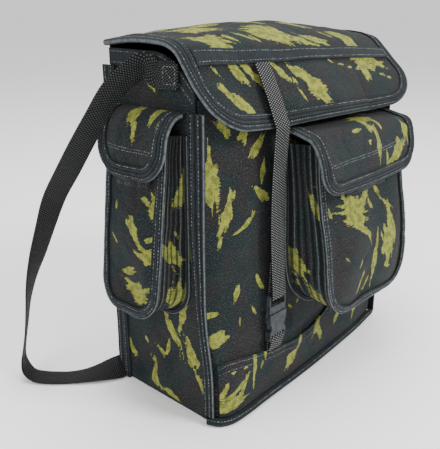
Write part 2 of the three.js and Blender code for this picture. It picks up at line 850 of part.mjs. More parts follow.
function toManifold(geometry) {
  const bare = geometry.clone();
  bare.deleteAttribute('normal');
  bare.deleteAttribute('uv');
  const merged = BufferGeometryUtils.mergeVertices(bare, 1e-4);
  return new wasm.Manifold(new wasm.Mesh({
    numProp: 3,
    vertProperties: new Float32Array(merged.getAttribute('position').array),
    triVerts: new Uint32Array(merged.getIndex().array),
  }));
}

function fromManifold(solid) {
  const mesh = solid.getMesh();
  const geometry = new THREE.BufferGeometry();
  geometry.setAttribute('position', new THREE.BufferAttribute(mesh.vertProperties, 3));
  geometry.setIndex(new THREE.BufferAttribute(mesh.triVerts, 1));
  geometry.computeVertexNormals();
  return geometry;
}

// A flat piece of the buckle: an outline across and up, given its thickness about the buckle's plane.
function bucklePlate(shape, thickness) {
  const geometry = new THREE.ExtrudeGeometry(shape, {
    depth: thickness, bevelEnabled: false, curveSegments: 3,
  });
  geometry.translate(0, 0, -thickness / 2);
  geometry.rotateX(Math.PI / 2);
  geometry.translate(closureStrapOffset, bucklePlaneY, 0);
  return toManifold(geometry);
}

function boxShape(left, right, bottom, top) {
  const shape = new THREE.Shape();
  shape.moveTo(left, bottom);
  shape.lineTo(right, bottom);
  shape.lineTo(right, top);
  shape.lineTo(left, top);
  shape.closePath();
  return shape;
}

const buckleHalf = buckleWidth / 2;
const slotHalf = closureStrapWidth / 2 + barClearance;
const armThickness = 3;
const armWidth = 3.4;
const socketSideWall = 2.8;
const armOuter = buckleHalf - socketSideWall;
const ribWidth = 3.6;
const shoulderLow = socketBottom + buckleSocketLength * 0.34;
const shoulderHigh = socketBottom + buckleSocketLength * 0.68;

// How far a shape that is joined or cut reaches past its neighbour, so that their faces don't meet.
const bite = 1;

function addBucklePlug() {
  const cornerRadius = 2.5;
  const frame = new THREE.Shape();
  frame.moveTo(-buckleHalf, frameFoot);
  frame.lineTo(buckleHalf, frameFoot);
  frame.lineTo(buckleHalf, frameTop - cornerRadius);
  frame.quadraticCurveTo(buckleHalf, frameTop, buckleHalf - cornerRadius, frameTop);
  frame.lineTo(-buckleHalf + cornerRadius, frameTop);
  frame.quadraticCurveTo(-buckleHalf, frameTop, -buckleHalf, frameTop - cornerRadius);
  frame.closePath();
  const slotLow = frameFoot + buckleFrameLength * 0.4;
  const slot = boxShape(-slotHalf, slotHalf, slotLow, frameTop + bite);
  const bar = boxShape(-slotHalf - bite, slotHalf + bite, frameTop - buckleBar, frameTop);
  const armFoot = shoulderLow + buckleClearance;
  const plug = [bucklePlate(frame, buckleThickness * 0.62)];
  for (const side of [-1, 1]) {
    const arm = new THREE.Shape();
    arm.moveTo(side * (armOuter - armWidth), frameFoot + bite);
    arm.lineTo(side * armOuter, frameFoot + bite);
    arm.lineTo(side * armOuter, shoulderHigh - buckleClearance);
    arm.quadraticCurveTo(
      side * (buckleHalf + bite), (shoulderHigh + armFoot) / 2, side * armOuter, armFoot);
    arm.lineTo(side * (armOuter - armWidth), armFoot + armWidth);
    arm.closePath();
    plug.push(bucklePlate(arm, armThickness));
  }
  const rib = boxShape(-ribWidth / 2, ribWidth / 2, shoulderLow + 2 * armWidth, frameFoot + bite);
  plug.push(bucklePlate(rib, armThickness));
  const whole = plug.reduce((sum, piece) => sum.add(piece))
    .subtract(bucklePlate(slot, 2 * buckleThickness))
    .add(bucklePlate(bar, buckleBar));
  addPiece('buckle_plug', fromManifold(whole), bucklePlastic);
}

function addBuckleSocket() {
  const foot = buckleHalf - 0.5;
  const waist = armOuter - 2.4;
  const boreReach = armOuter + buckleClearance;
  const middle = (shoulderLow + shoulderHigh) / 2;
  const body = new THREE.Shape();
  body.moveTo(-foot, socketBottom);
  body.lineTo(foot, socketBottom);
  body.lineTo(foot, shoulderLow - bite);
  body.quadraticCurveTo(waist, middle, buckleHalf, shoulderHigh + bite);
  body.lineTo(buckleHalf, socketTop);
  body.lineTo(-buckleHalf, socketTop);
  body.lineTo(-buckleHalf, shoulderHigh + bite);
  body.quadraticCurveTo(-waist, middle, -foot, shoulderLow - bite);
  body.closePath();
  const bore = boxShape(-boreReach, boreReach, shoulderLow, socketTop + bite);
  const window = boxShape(-buckleWidth, buckleWidth, shoulderLow, shoulderHigh);
  const slotHigh = socketBottom + buckleBar + 2 * webbingThickness;
  const slot = boxShape(-slotHalf, slotHalf, socketBottom - bite, slotHigh);
  const bar = boxShape(-slotHalf - bite, slotHalf + bite, socketBottom, socketBottom + buckleBar);
  const boreThickness = armThickness + 2 * buckleClearance;
  const whole = bucklePlate(body, buckleThickness)
    .subtract(bucklePlate(bore, boreThickness))
    .subtract(bucklePlate(window, boreThickness))
    .subtract(bucklePlate(slot, 2 * buckleThickness))
    .add(bucklePlate(bar, buckleBar));
  addPiece('buckle_socket', fromManifold(whole), bucklePlastic);
}

// Shoulder straps

// The left strap's route, from where it is sewn on the side wall to the rear seam at the floor. out
// is a share of its reach past the side wall, ahead of the anchor's place before the middle, seam of
// the half depth, back of its setback behind the back, up of the anchor's height, and twist turns
// its width from level, in degrees.
const shoulderRoute = [
  { out: 0, ahead: 1.2, seam: 0, back: 0, up: 1, twist: 90 },
  { out: 0, ahead: 0.85, seam: 0, back: 0, up: 1, twist: 90 },
  { out: 0, ahead: 0.3, seam: 0, back: 0, up: 1, twist: 78 },
  { out: 0.035, ahead: 0, seam: 0, back: 0, up: 1.025, twist: 70 },
  { out: 0.16, ahead: 0, seam: 0.16, back: 0, up: 1, twist: 60 },
  { out: 0.31, ahead: 0, seam: 0.35, back: 0, up: 0.954, twist: 56 },
  { out: 0.466, ahead: 0, seam: 0.51, back: 0, up: 0.887, twist: 50 },
  { out: 0.567, ahead: 0, seam: 0.75, back: 0, up: 0.811, twist: 54 },
  { out: 0.63, ahead: 0, seam: 1, back: 0.065, up: 0.726, twist: 56 },
  { out: 0.68, ahead: 0, seam: 1, back: 0.315, up: 0.637, twist: 52 },
  { out: 0.72, ahead: 0, seam: 1, back: 0.494, up: 0.543, twist: 41 },
  { out: 0.77, ahead: 0, seam: 1, back: 0.66, up: 0.443, twist: 30 },
  { out: 0.83, ahead: 0, seam: 1, back: 0.79, up: 0.345, twist: 11 },
  { out: 0.87, ahead: 0, seam: 1, back: 0.86, up: 0.262, twist: -3 },
  { out: 0.9, ahead: 0, seam: 1, back: 0.91, up: 0.18, twist: -8 },
  { out: 0.935, ahead: 0, seam: 1, back: 0.96, up: 0.107, twist: -8 },
  { out: 0.955, ahead: 0, seam: 1, back: 0.98, up: 0.06, twist: -5 },
  { out: 0.945, ahead: 0, seam: 1, back: 0.9, up: 0.022, twist: -2 },
  { out: 0.88, ahead: 0, seam: 1, back: 0.77, up: 0.008, twist: 0 },
  { out: 0.74, ahead: 0, seam: 1, back: 0.6, up: 0.006, twist: 0 },
  { out: 0.59, ahead: 0, seam: 1, back: 0.458, up: 0.006, twist: 0 },
  { out: 0.42, ahead: 0, seam: 1, back: 0.31, up: 0.012, twist: 6 },
  { out: 0.27, ahead: 0, seam: 1, back: 0.185, up: 0.022, twist: 20 },
  { out: 0.15, ahead: 0, seam: 1, back: 0.09, up: 0.031, twist: 40 },
];
const shoulderEnd = { seam: 1, back: 0.02, up: 0.037 };
const strapWallClearance = halfCloth + hemTapeThickness + 2 * coverGap + webbingThickness / 2;
const tapeOuterFace = halfCloth + 2 * seamGap + seamTapeThickness;

function shoulderPoint(row) {
  const y = halfDepth * row.seam + strapSetback * row.back - strapAnchorForward * row.ahead;
  const z = strapAnchorHeight * row.up;
  const wallX = leftWall(clamp(y, -halfDepth, halfDepth), z).x;
  return new THREE.Vector3(wallX - strapWallClearance - strapReach * row.out, y, z);
}

function addShoulderStraps() {
  const points = shoulderRoute.map(shoulderPoint);
  const endY = halfDepth * shoulderEnd.seam + strapSetback * shoulderEnd.back;
  const endZ = strapAnchorHeight * shoulderEnd.up;
  const lastRun = 4;
  for (const away of [lastRun, 0]) {
    points.push(new THREE.Vector3(-halfWidth - tapeOuterFace - away, endY, endZ));
  }
  const level = new THREE.Vector3(-strapSetback, -strapReach, 0).normalize();
  const endTwist = 62;
  const widths = points.map((point, index) => {
    const ahead = points[Math.min(index + 1, points.length - 1)];
    const behind = points[Math.max(index - 1, 0)];
    const along = new THREE.Vector3().subVectors(ahead, behind).normalize();
    const flat = level.clone().addScaledVector(along, -level.dot(along)).normalize();
    const upright = new THREE.Vector3().crossVectors(along, flat);
    const twist = index < shoulderRoute.length ? shoulderRoute[index].twist : endTwist;
    const turn = THREE.MathUtils.degToRad(twist);
    return flat.multiplyScalar(Math.cos(turn)).addScaledVector(upright, Math.sin(turn));
  });
  addPair('shoulder_strap',
    strapGeometry(points, widths, webbingWidth, webbingThickness), webbing);
  const patchY = -strapAnchorForward;
  const patchX = leftWall(patchY, strapAnchorHeight).x - strapWallClearance
    - webbingThickness - seamGap;
  const patch = new THREE.BoxGeometry(webbingThickness, anchorPatchSize, anchorPatchSize);
  patch.translate(patchX, patchY, strapAnchorHeight);
  const bare = BufferGeometryUtils.mergeVertices(
    new THREE.BufferGeometry().setAttribute('position', patch.getAttribute('position'))
      .setIndex(patch.getIndex()), 1e-4);
  addPair('strap_anchor_patch', bare, webbing);
}

// Pockets

// A pocket's flap from the wall over its mouth to its lower edge, at its left edge, its middle and
// its right edge. out is a share of the pocket's depth at the top, rise of the flap's rise above the
// pocket's mouth and drop of its drop below it.
const frontPocketFlapRows = {
  left: [
    { out: 0.05, rise: 1, drop: 0 },
    { out: 0.45, rise: 1, drop: 0 },
    { out: 0.85, rise: 0.75, drop: 0 },
    { out: 1.18, rise: 0.46, drop: 0 },
    { out: 1.46, rise: 0, drop: 0.2 },
    { out: 1.56, rise: 0, drop: 0.56 },
    { out: 1.58, rise: 0, drop: 0.92 },
  ],
  middle: [
    { out: 0.05, rise: 1, drop: 0 },
    { out: 0.45, rise: 1, drop: 0 },
    { out: 0.85, rise: 0.86, drop: 0 },
    { out: 1.14, rise: 0.54, drop: 0 },
    { out: 1.36, rise: 0, drop: 0.19 },
    { out: 1.46, rise: 0, drop: 0.58 },
    { out: 1.48, rise: 0, drop: 1 },
  ],
  right: [
    { out: 0.05, rise: 0.86, drop: 0 },
    { out: 0.45, rise: 0.71, drop: 0 },
    { out: 0.8, rise: 0.5, drop: 0 },
    { out: 1.08, rise: 0.36, drop: 0 },
    { out: 1.25, rise: 0, drop: 0.06 },
    { out: 1.36, rise: 0, drop: 0.5 },
    { out: 1.37, rise: 0, drop: 0.94 },
  ],
};
const sidePocketFlapSection = [
  { out: 0.12, rise: 1, drop: 0 },
  { out: 0.65, rise: 0.9, drop: 0 },
  { out: 1.2, rise: 0.58, drop: 0 },
  { out: 1.62, rise: 0.1, drop: 0 },
  { out: 1.82, rise: 0, drop: 0.24 },
  { out: 1.98, rise: 0, drop: 0.62 },
  { out: 2.04, rise: 0, drop: 1 },
];
const sidePocketFlapRows = {
  left: sidePocketFlapSection,
  middle: sidePocketFlapSection,
  right: sidePocketFlapSection,
};

// How much of the wall's curve across the front pocket is gone at the pocket's face.
const frontPocketLevel = 0.85;

// place turns a distance across, a height and a distance off the wall's middle into a point.
const frontPocket = {
  place: (across, height, off) => {
    const point = frontWall(frontPocketOffset + across, height);
    const level = frontWall(frontPocketOffset, height).y - point.y;
    const levelled = frontPocketLevel * smoothStep(0, frontPocketUpperDepth, off);
    point.y += level * levelled - off;
    return point;
  },
  halfWidth: frontPocketWidth / 2,
  top: frontPocketMouthHeight,
  bottom: frontPocketFootHeight,
  depthTop: frontPocketUpperDepth,
  depthBottom: frontPocketLowerDepth,
  cornerLeft: frontPocketLeftRadius,
  cornerRight: frontPocketRightRadius,
  splay: frontPocketSplayWidth,
  sag: frontPocketSagHeight,
  flapHalfWidth: frontPocketFlapWidth / 2,
  flapRise: frontPocketFlapHeight,
  flapDrop: frontPocketFlapLength,
  flapCorner: frontPocketFlapRadius,
  flapRows: frontPocketFlapRows,
  columns: 10,
  sideSteps: 6,
  flapColumns: [-1, -0.75, -0.5, -0.25, 0, 0.25, 0.5, 0.75, 1],
  flapCornerSteps: 4,
};
const sidePocket = {
  place: (across, height, off) => {
    const shifted = sidePocketSetback * smoothStep(0, sidePocketUpperDepth, off);
    const point = leftWall(shifted - across, height);
    point.x -= off;
    return point;
  },
  halfWidth: sidePocketWidth / 2,
  top: sidePocketMouthHeight,
  bottom: sidePocketFootHeight,
  depthTop: sidePocketUpperDepth,
  depthBottom: sidePocketLowerDepth,
  cornerLeft: sidePocketRadius,
  cornerRight: sidePocketRadius,
  splay: sidePocketSplayWidth,
  sag: 0,
  flapHalfWidth: sidePocketFlapWidth / 2,
  flapRise: sidePocketFlapHeight,
  flapDrop: sidePocketFlapLength,
  flapCorner: sidePocketFlapRadius,
  flapRows: sidePocketFlapRows,
  columns: 7,
  sideSteps: 4,
  flapColumns: [-1, 0, 1],
  flapCornerSteps: 4,
};

// The pocket's face: the distance across and the distance down from its mouth.
function pocketFace(pocket) {
  const length = pocket.top - pocket.bottom;
  return (across, down) => {
    const share = down / length;
    const crown = pocketFaceCrown * (1 - (across / pocket.halfWidth) ** 2)
      * Math.sin(Math.PI * clamp(share, 0, 1));
    const depth = pocket.depthTop + (pocket.depthBottom - pocket.depthTop) * share;
    return pocket.place(across, pocket.top - down, depth + crown);
  };
}

function pocketWall(pocket) {
  return (across, down) => pocket.place(across, pocket.top - down, 0);
}

// The pocket's outline on its two sides and below, and the same where it meets the wall: wider by
// the splay, and higher by how far the pocket sags.
function pocketPath(pocket, reach, grow) {
  return roundEdgePath(reach, pocket.top - pocket.bottom + grow,
    pocket.cornerLeft, pocket.cornerRight, straightStops(pocket.sideSteps), cornerSteps,
    evenStops(6).slice(1, -1).map((share) => -reach + pocket.cornerLeft
      + (2 * reach - pocket.cornerLeft - pocket.cornerRight) * share));
}

function pocketWallPath(pocket) {
  return pocketPath(pocket, pocket.halfWidth + pocket.splay, -pocket.sag);
}

// How far the face reaches to either side at a distance down from the mouth: its lower corners are
// round.
function roundedSide(pocket, radius, down) {
  const into = Math.max(down - (pocket.top - pocket.bottom - radius), 0);
  return pocket.halfWidth - radius + Math.sqrt(Math.max(radius ** 2 - into ** 2, 0));
}

function pocketPanelGeometry(pocket) {
  const face = pocketFace(pocket);
  const length = pocket.top - pocket.bottom;
  const surface = (u, v) => {
    const down = length * v;
    const left = -roundedSide(pocket, pocket.cornerLeft, down);
    const right = roundedSide(pocket, pocket.cornerRight, down);
    return face(left + (right - left) * u, down);
  };
  return sheetGeometry(surface, evenStops(pocket.columns), evenStops(9), clothThickness);
}

// The gusset between the wall and the face, with its two layers of points at the wall, halfway and
// at the face.
function pocketGussetGeometry(pocket) {
  const atFace = pocketPath(pocket, pocket.halfWidth, 0);
  const atWall = pocketWallPath(pocket);
  const length = pocket.top - pocket.bottom;
  const outOfWall = halfCloth + seamGap;
  const section = [];
  for (const layer of [0, 1]) {
    const shares = [0, 0.5, 1];
    if (layer === 1) shares.reverse();
    shares.forEach((share) => section.push(new THREE.Vector2(share, layer)));
  }
  const rings = atFace.map((face, index) => {
    const wall = atWall[index];
    const depth = pocket.depthTop
      + (pocket.depthBottom - pocket.depthTop) * clamp(face.b / length, 0, 1);
    const behindFace = depth - halfCloth - seamGap;
    return section.map(({ x: share, y: layer }) => {
      const across = wall.a + (face.a - wall.a) * share + face.inA * clothThickness * layer;
      const down = wall.b + (face.b - wall.b) * share + face.inB * clothThickness * layer;
      return pocket.place(across, pocket.top - down, outOfWall + (behindFace - outOfWall) * share);
    });
  });
  return ringGeometry(rings, section);
}

function pocketFaceBindingGeometry(pocket) {
  const bindingReach = 1.2;
  const low = halfCloth + coverGap;
  const section = rectangle(-bindingReach, pocketBindingWidth, -low - pocketBindingThickness, -low);
  return edgeTapeGeometry(pocketFace(pocket), pocketPath(pocket, pocket.halfWidth, 0), section);
}

function pocketSeamGeometry(pocket) {
  const low = halfCloth + coverGap;
  const high = low + pocketSeamThickness;
  const clear = seamGap + pocket.sag * high / pocket.depthTop;
  const section = rectangle(-clear - pocketSeamWidth, -clear, -high, -low);
  return edgeTapeGeometry(pocketWall(pocket), pocketWallPath(pocket), section);
}

function pocketHookTapeGeometry(pocket) {
  const face = pocketFace(pocket);
  const high = pocket.flapDrop - hookTapeHeight * 0.6;
  const standoff = halfCloth + coverGap + hookTapeThickness / 2;
  const reach = pocket.halfWidth * hookTapeShare;
  const surface = (u, v) => offsetSurface(
    face, (2 * u - 1) * reach, high + hookTapeHeight * v, -standoff);
  return sheetGeometry(surface, evenStops(4), [0, 0.5, 1], hookTapeThickness);
}

// The flap's surface from the wall, and its length measured along its middle.
function pocketFlapSurface(pocket) {
  const point = (row) => ({
    off: pocket.depthTop * row.out,
    height: pocket.top + pocket.flapRise * row.rise - pocket.flapDrop * row.drop,
  });
  const knots = [];
  let travelled = 0;
  pocket.flapRows.middle.forEach((row, index) => {
    const middle = point(row);
    if (index > 0) {
      const before = point(pocket.flapRows.middle[index - 1]);
      travelled += Math.hypot(middle.off - before.off, middle.height - before.height);
    }
    const left = point(pocket.flapRows.left[index]);
    const right = point(pocket.flapRows.right[index]);
    knots.push({
      along: travelled,
      leftOff: left.off, leftHeight: left.height,
      middleOff: middle.off, middleHeight: middle.height,
      rightOff: right.off, rightHeight: right.height,
    });
  });
  const surface = (acrossFlap, along) => {
    const across = acrossFlap / pocket.flapHalfWidth;
    const at = (key) => {
      const left = readTable(knots, 'along', `left${key}`, along);
      const middle = readTable(knots, 'along', `middle${key}`, along);
      const right = readTable(knots, 'along', `right${key}`, along);
      return middle + (right - left) / 2 * across + ((left + right) / 2 - middle) * across * across;
    };
    return pocket.place(acrossFlap, at('Height'), at('Off'));
  };
  return { surface, length: travelled };
}

function pocketFlapGeometries(pocket) {
  const { surface, length } = pocketFlapSurface(pocket);
  return edgedFlap({
    surface,
    length,
    reach: pocket.flapHalfWidth,
    radius: pocket.flapCorner,
    columns: pocket.flapColumns,
    straight: straightStops(5),
    arcSteps: pocket.flapCornerSteps,
    tapeStart: pocketFlapTapeStart,
  });
}

function addFrontPocket() {
  const flap = pocketFlapGeometries(frontPocket);
  addPiece('front_pocket_face', pocketPanelGeometry(frontPocket), camoCanvas);
  addPiece('front_pocket_gusset', pocketGussetGeometry(frontPocket), camoCanvas);
  addPiece('front_pocket_binding', pocketFaceBindingGeometry(frontPocket), bindingTape);
  addPiece('front_pocket_seam', pocketSeamGeometry(frontPocket), bindingTape);
  addPiece('front_pocket_hook_tape', pocketHookTapeGeometry(frontPocket), hookTape);
  addPiece('front_pocket_flap', flap.panel, camoCanvas);
  addPiece('front_pocket_flap_binding', flap.binding, bindingTape);
}

function addSidePockets() {
  const flap = pocketFlapGeometries(sidePocket);
  addPair('pocket_face', pocketPanelGeometry(sidePocket), camoCanvas);
  addPair('pocket_gusset', pocketGussetGeometry(sidePocket), camoCanvas);
  addPair('pocket_binding', pocketFaceBindingGeometry(sidePocket), bindingTape);
  addPair('pocket_seam', pocketSeamGeometry(sidePocket), bindingTape);
  addPair('pocket_hook_tape', pocketHookTapeGeometry(sidePocket), hookTape);
  addPair('pocket_flap', flap.panel, camoCanvas);
  addPair('pocket_flap_binding', flap.binding, bindingTape);
}

addBottomPanel();
addBackPanel();
addSidePanels();
addFrontPanel();
addBaseBand();
addSeams();
addMainFlap();
addCrownBand();
addClosureStrap();
addBuckleTab();
addBucklePlug();
addBuckleSocket();
addShoulderStraps();
addFrontPocket();
addSidePockets();

export default haversack;
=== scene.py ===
import math

import bmesh
import bpy
import numpy as np
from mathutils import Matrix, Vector


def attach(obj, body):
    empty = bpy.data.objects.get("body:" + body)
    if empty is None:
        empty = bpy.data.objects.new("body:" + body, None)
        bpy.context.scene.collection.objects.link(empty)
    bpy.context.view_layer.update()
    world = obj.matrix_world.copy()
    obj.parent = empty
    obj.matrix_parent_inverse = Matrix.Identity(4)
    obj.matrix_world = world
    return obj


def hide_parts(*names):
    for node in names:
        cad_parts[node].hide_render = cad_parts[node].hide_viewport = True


# A camouflage canvas haversack. Lengths are millimetres until a mesh is made, +Z is up, the front
# faces -Y. Surfaces are functions of two lengths on the cloth, so what is sewn onto a piece follows
# its dents and folds.

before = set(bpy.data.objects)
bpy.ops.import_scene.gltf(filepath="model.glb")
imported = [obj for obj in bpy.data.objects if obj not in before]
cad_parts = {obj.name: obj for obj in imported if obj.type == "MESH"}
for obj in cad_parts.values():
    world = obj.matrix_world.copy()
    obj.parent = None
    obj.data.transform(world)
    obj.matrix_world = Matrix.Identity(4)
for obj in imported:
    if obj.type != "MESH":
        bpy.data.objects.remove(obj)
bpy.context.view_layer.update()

METRES = 0.001
SEED = 7

# Body
BAG_WIDTH = 314
BAG_DEPTH = 117
WALL_HEIGHT = 356
FRONT_WALL_HEIGHT = 318
SIDE_FRONT_DROP = 34
CLOTH = 1.8
SEAM_GAP = 0.3
BASE_BULGE = 26
MID_BULGE = 22
MOUTH_BULGE = 6
SIDE_BULGE = 4
HALF_W = BAG_WIDTH / 2
HALF_D = BAG_DEPTH / 2
WALL_LOW = 2.3

# Main flap
FLAP_HALF_W = HALF_W + 6
FLAP_LEAN = 34
FLAP_DROP = 66
DOME_RISE = 16
FLAP_RADIUS = 46
FLAP_FOLD_DEPTH = 8
BINDING_WIDTH = 12
BINDING_THICK = 1.2
FOLD_CLEARANCE = 0.6
CROWN_BAND_WIDTH = 13
CROWN_BAND_THICK = 1.5

# Tapes and band
SEAM_TAPE_ON_WALL = 9
SEAM_TAPE_FIN = 9
SEAM_TAPE_THICK = 3.4
PIPING_RADIUS = 4
HEM_TAPE_HEIGHT = 15
HEM_TAPE_THICK = 1.2
BASE_BAND_HEIGHT = 66
BASE_BAND_LOW = 8.9
BASE_BAND_THICK = 2.2

# How far off the middle of its cloth a second layer lies: the hem tape, the crown band and the base
# band by their middles, the other tapes by their inner faces.
HEM_TAPE_OFF = 1.9
CROWN_BAND_OFF = 2.3
BASE_BAND_OFF = 2.5
SEAM_TAPE_OFF = 1.3
LAYER_OFF = 1.5

# Mesh steps
FINE_STEP = 1.9
TAPE_STEP = 2.5
ROW_STEP = 3

SIDES = (("left", -1), ("right", 1))

# Webbing and buckle
WEBBING_WIDTH = 25
WEBBING_THICK = 1.8
CLOSURE_WIDTH = 21
CLOSURE_X = -74
CLOSURE_SAG = 4
CLOSURE_LIFT = 0.6
BUCKLE_BAR = 3
BUCKLE_TAB = 14
BUCKLE_FRAME = 20
BUCKLE_SOCKET = 30
BUCKLE_GAP = 0.35
STRAP_REACH = 79
STRAP_SETBACK = 84
ANCHOR_HEIGHT = 337
ANCHOR_FORWARD = 30.5
ANCHOR_PATCH = 21
ANCHOR_PATCH_THICK = 1.7

BASE_BULGE_ROWS = ((-1, -0.97, -0.88, -0.56, -0.07, 0.38, 0.73, 1),
                   (0.4, 0.8, 1, 0.92, 0.78, 0.54, 0.3, 0.03))
HEIGHT_BULGE_ROWS = ((0, 0.17, 0.45, 0.75, 1),
                     (BASE_BULGE, BASE_BULGE * 0.25 + MID_BULGE * 0.8, MID_BULGE,
                      MID_BULGE * 0.62, MOUTH_BULGE))
BASE_BAND_ROWS = ((-1, -0.9, -0.56, -0.34, -0.08, 0.24, 0.6, 1),
                  (0.94, 0.97, 0.81, 0.76, 0.77, 0.93, 1, 1))


def smooth(low, high, value):
    share = np.clip((value - low) / (high - low), 0, 1)
    return share * share * (3 - 2 * share)


def bump(value, centre, reach):
    return np.exp(-(((value - centre) / reach) ** 2))


def read_table(rows, at):
    """A cubic through a table's rows, carried on straight past both ends."""
    keys, values = (np.asarray(column, float) for column in rows)
    at = np.asarray(at, float)
    low = np.clip(np.searchsorted(keys, at) - 1, 0, len(keys) - 2)
    high = low + 1
    before = np.maximum(low - 1, 0)
    after = np.minimum(low + 2, len(keys) - 1)
    span = keys[high] - keys[low]
    slope_low = (values[high] - values[before]) / (keys[high] - keys[before]) * span
    slope_high = (values[after] - values[low]) / (keys[after] - keys[low]) * span
    t = np.clip((at - keys[low]) / span, 0, 1)
    past = (at - keys[low]) / span - t
    return ((2 * t ** 3 - 3 * t ** 2 + 1) * values[low] + (t ** 3 - 2 * t ** 2 + t) * slope_low
            + (3 * t ** 2 - 2 * t ** 3) * values[high] + (t ** 3 - t ** 2) * slope_high
            + past * np.where(past > 0, slope_high, slope_low))


def ripple(a, b, size, seed):
    """Soft irregular relief between about -1 and 1, with dents of the given size."""
    rng = np.random.default_rng(SEED * 1000 + seed)
    total = 0
    waves = 9
    for _ in range(waves):
        turn = rng.uniform(0, math.tau)
        wave = size * rng.uniform(0.7, 1.9)
        phase = rng.uniform(0, math.tau)
        total = total + np.sin((a * math.cos(turn) + b * math.sin(turn)) * math.tau / wave + phase)
    return total / math.sqrt(waves)


def crumple(a, b, size, seed):
    """Narrow creases with soft fields between them."""
    field = ripple(a, b, size, seed) + 0.5 * ripple(a, b, size * 0.45, seed + 1)
    return 1 - 2 * np.exp(-(field / 0.35) ** 2)


def points(x, y, z):
    return np.stack(np.broadcast_arrays(x, y, z), axis=-1).astype(float)


def normal_of(surface, a, b, step=0.05):
    along_a = surface(a + step, b) - surface(a - step, b)
    along_b = surface(a, b + step) - surface(a, b - step)
    across = np.cross(along_a, along_b)
    return across / np.linalg.norm(across, axis=-1, keepdims=True)


def offset(surface, distance):
    return lambda a, b: surface(a, b) + normal_of(surface, a, b) * distance


# Body walls

def front_bulge(x, z):
    across = np.clip(x / HALF_W, -1, 1)
    up = z / FRONT_WALL_HEIGHT
    rounded = 1 - np.abs(across) ** 2.4
    base = read_table(BASE_BULGE_ROWS, across)
    share = smooth(0.12, 0.42, up)
    return read_table(HEIGHT_BULGE_ROWS, up) * (base * (1 - share) + rounded * share)


def front_relief(x, z):
    inside = smooth(0, 22, HALF_W - np.abs(x)) * smooth(0, 30, z)
    soft = 2.0 * ripple(x, z * 0.7, 95, 1) + 0.35 * crumple(x, z, 90, 2)
    sag = 2.2 * bump(x, -110, 16) * smooth(60, 150, z) * smooth(300, 230, z)
    above_band = -1.6 * bump(z, base_band_top(x) + 8, 7)
    relief = inside * (soft + sag + above_band)
    return relief - np.maximum(relief, 0) * behind_buckle(x, z)


def behind_buckle(x, z):
    """Where the cloth stays back so that the buckle and its tab lie clear of it."""
    return smooth(34, 20, np.abs(x - CLOSURE_X)) * smooth(150, 125, z)


def front_wall(x, z):
    return points(x, -HALF_D - front_bulge(x, z) - front_relief(x, z), z)


def base_band_top(x):
    return BASE_BAND_HEIGHT * read_table(BASE_BAND_ROWS, np.asarray(x, float) / HALF_W)


def side_top(y):
    ahead = np.clip(-y / HALF_D, 0, 1)
    return WALL_HEIGHT - SIDE_FRONT_DROP * ahead ** 2.2


def seam_forward(end, z):
    return front_bulge(end * HALF_W, z)


def side_relief(y, z):
    inside = (1 - np.clip(y / HALF_D, -1, 1) ** 2) ** 1.5 * smooth(0, 20, z) * smooth(330, 285, z)
    fold = (y + 52) * 0.62 + (z - 20) * 0.78
    diagonal = 4.2 * bump(fold, 34, 8) - 4.0 * bump(fold, 54, 13) - 2.0 * bump(fold, 88, 14)
    low = smooth(150, 70, z)
    return inside * (1.7 * ripple(y, z * 0.8, 70, 11) + 0.35 * crumple(y, z, 70, 12) + diagonal * low)


def left_wall(y, z):
    across = np.clip(y / HALF_D, -1, 1)
    out = SIDE_BULGE * (1 - across ** 2) * np.sin(math.pi * np.clip(z / WALL_HEIGHT, 0, 1))
    return points(-HALF_W - out - side_relief(y, z), y, z)


# Main flap: its section from the rear edge over the crown to the lower edge at three places across.
# Columns: share of the depth, of the dome's rise, of the lean, of the drop.

FLAP_SECTIONS = {
    "left": ((0.5, 0.3, 0, 0), (0.19, 0.54, 0, 0), (-0.1, 0.54, 0, 0), (-0.24, 0.4, 0, 0),
             (-0.335, 0.03, 0, 0), (-0.43, 0, 0, 0.2), (-0.5, 0, 0.07, 0.42), (-0.5, 0, 0.36, 0.69),
             (-0.5, 0, 0.64, 0.95)),
    "middle": ((0.5, 1.03, 0, 0), (0.19, 1.18, 0, 0), (-0.145, 0.94, 0, 0), (-0.36, 0.34, 0, 0),
               (-0.45, 0, 0, 0.055), (-0.5, 0, 0.04, 0.25), (-0.5, 0, 0.46, 0.52),
               (-0.5, 0, 0.79, 0.77), (-0.5, 0, 1, 1)),
    "right": ((0.5, 0.36, 0, 0), (0.19, 0.3, 0, 0), (-0.13, 0.14, 0, 0), (-0.325, 0, 0, 0.03),
              (-0.44, 0, 0, 0.2), (-0.5, 0, 0.12, 0.36), (-0.5, 0, 0.62, 0.59),
              (-0.5, 0, 0.95, 0.82), (-0.5, 0, 1.1, 1)),
}
CROWN_ROW = 4
STRAP_PULL = {"across": -0.46, "reach": 0.24, "back": 0.2, "down": 0.05}
FLAP_FOLD = {"across": 0.4, "edge": 0.03, "reach": 0.34}


def flap_row_places(rows):
    deep, rise, lean, drop = np.array(rows).T
    return BAG_DEPTH * deep - FLAP_LEAN * lean, WALL_HEIGHT + DOME_RISE * rise - FLAP_DROP * drop


flap_y = {side: flap_row_places(rows)[0] for side, rows in FLAP_SECTIONS.items()}
flap_z = {side: flap_row_places(rows)[1] for side, rows in FLAP_SECTIONS.items()}
flap_steps = np.hypot(np.diff(flap_y["middle"]), np.diff(flap_z["middle"]))
FLAP_ALONG = np.concatenate([[0], np.cumsum(flap_steps)])
FLAP_LENGTH = FLAP_ALONG[-1]
CROWN_ALONG = FLAP_ALONG[CROWN_ROW]


def bend_across(places, keys, across, along):
    left, middle, right = (read_table((keys, places[side]), along)
                           for side in ("left", "middle", "right"))
    return middle + (right - left) / 2 * across + ((left + right) / 2 - middle) * across ** 2


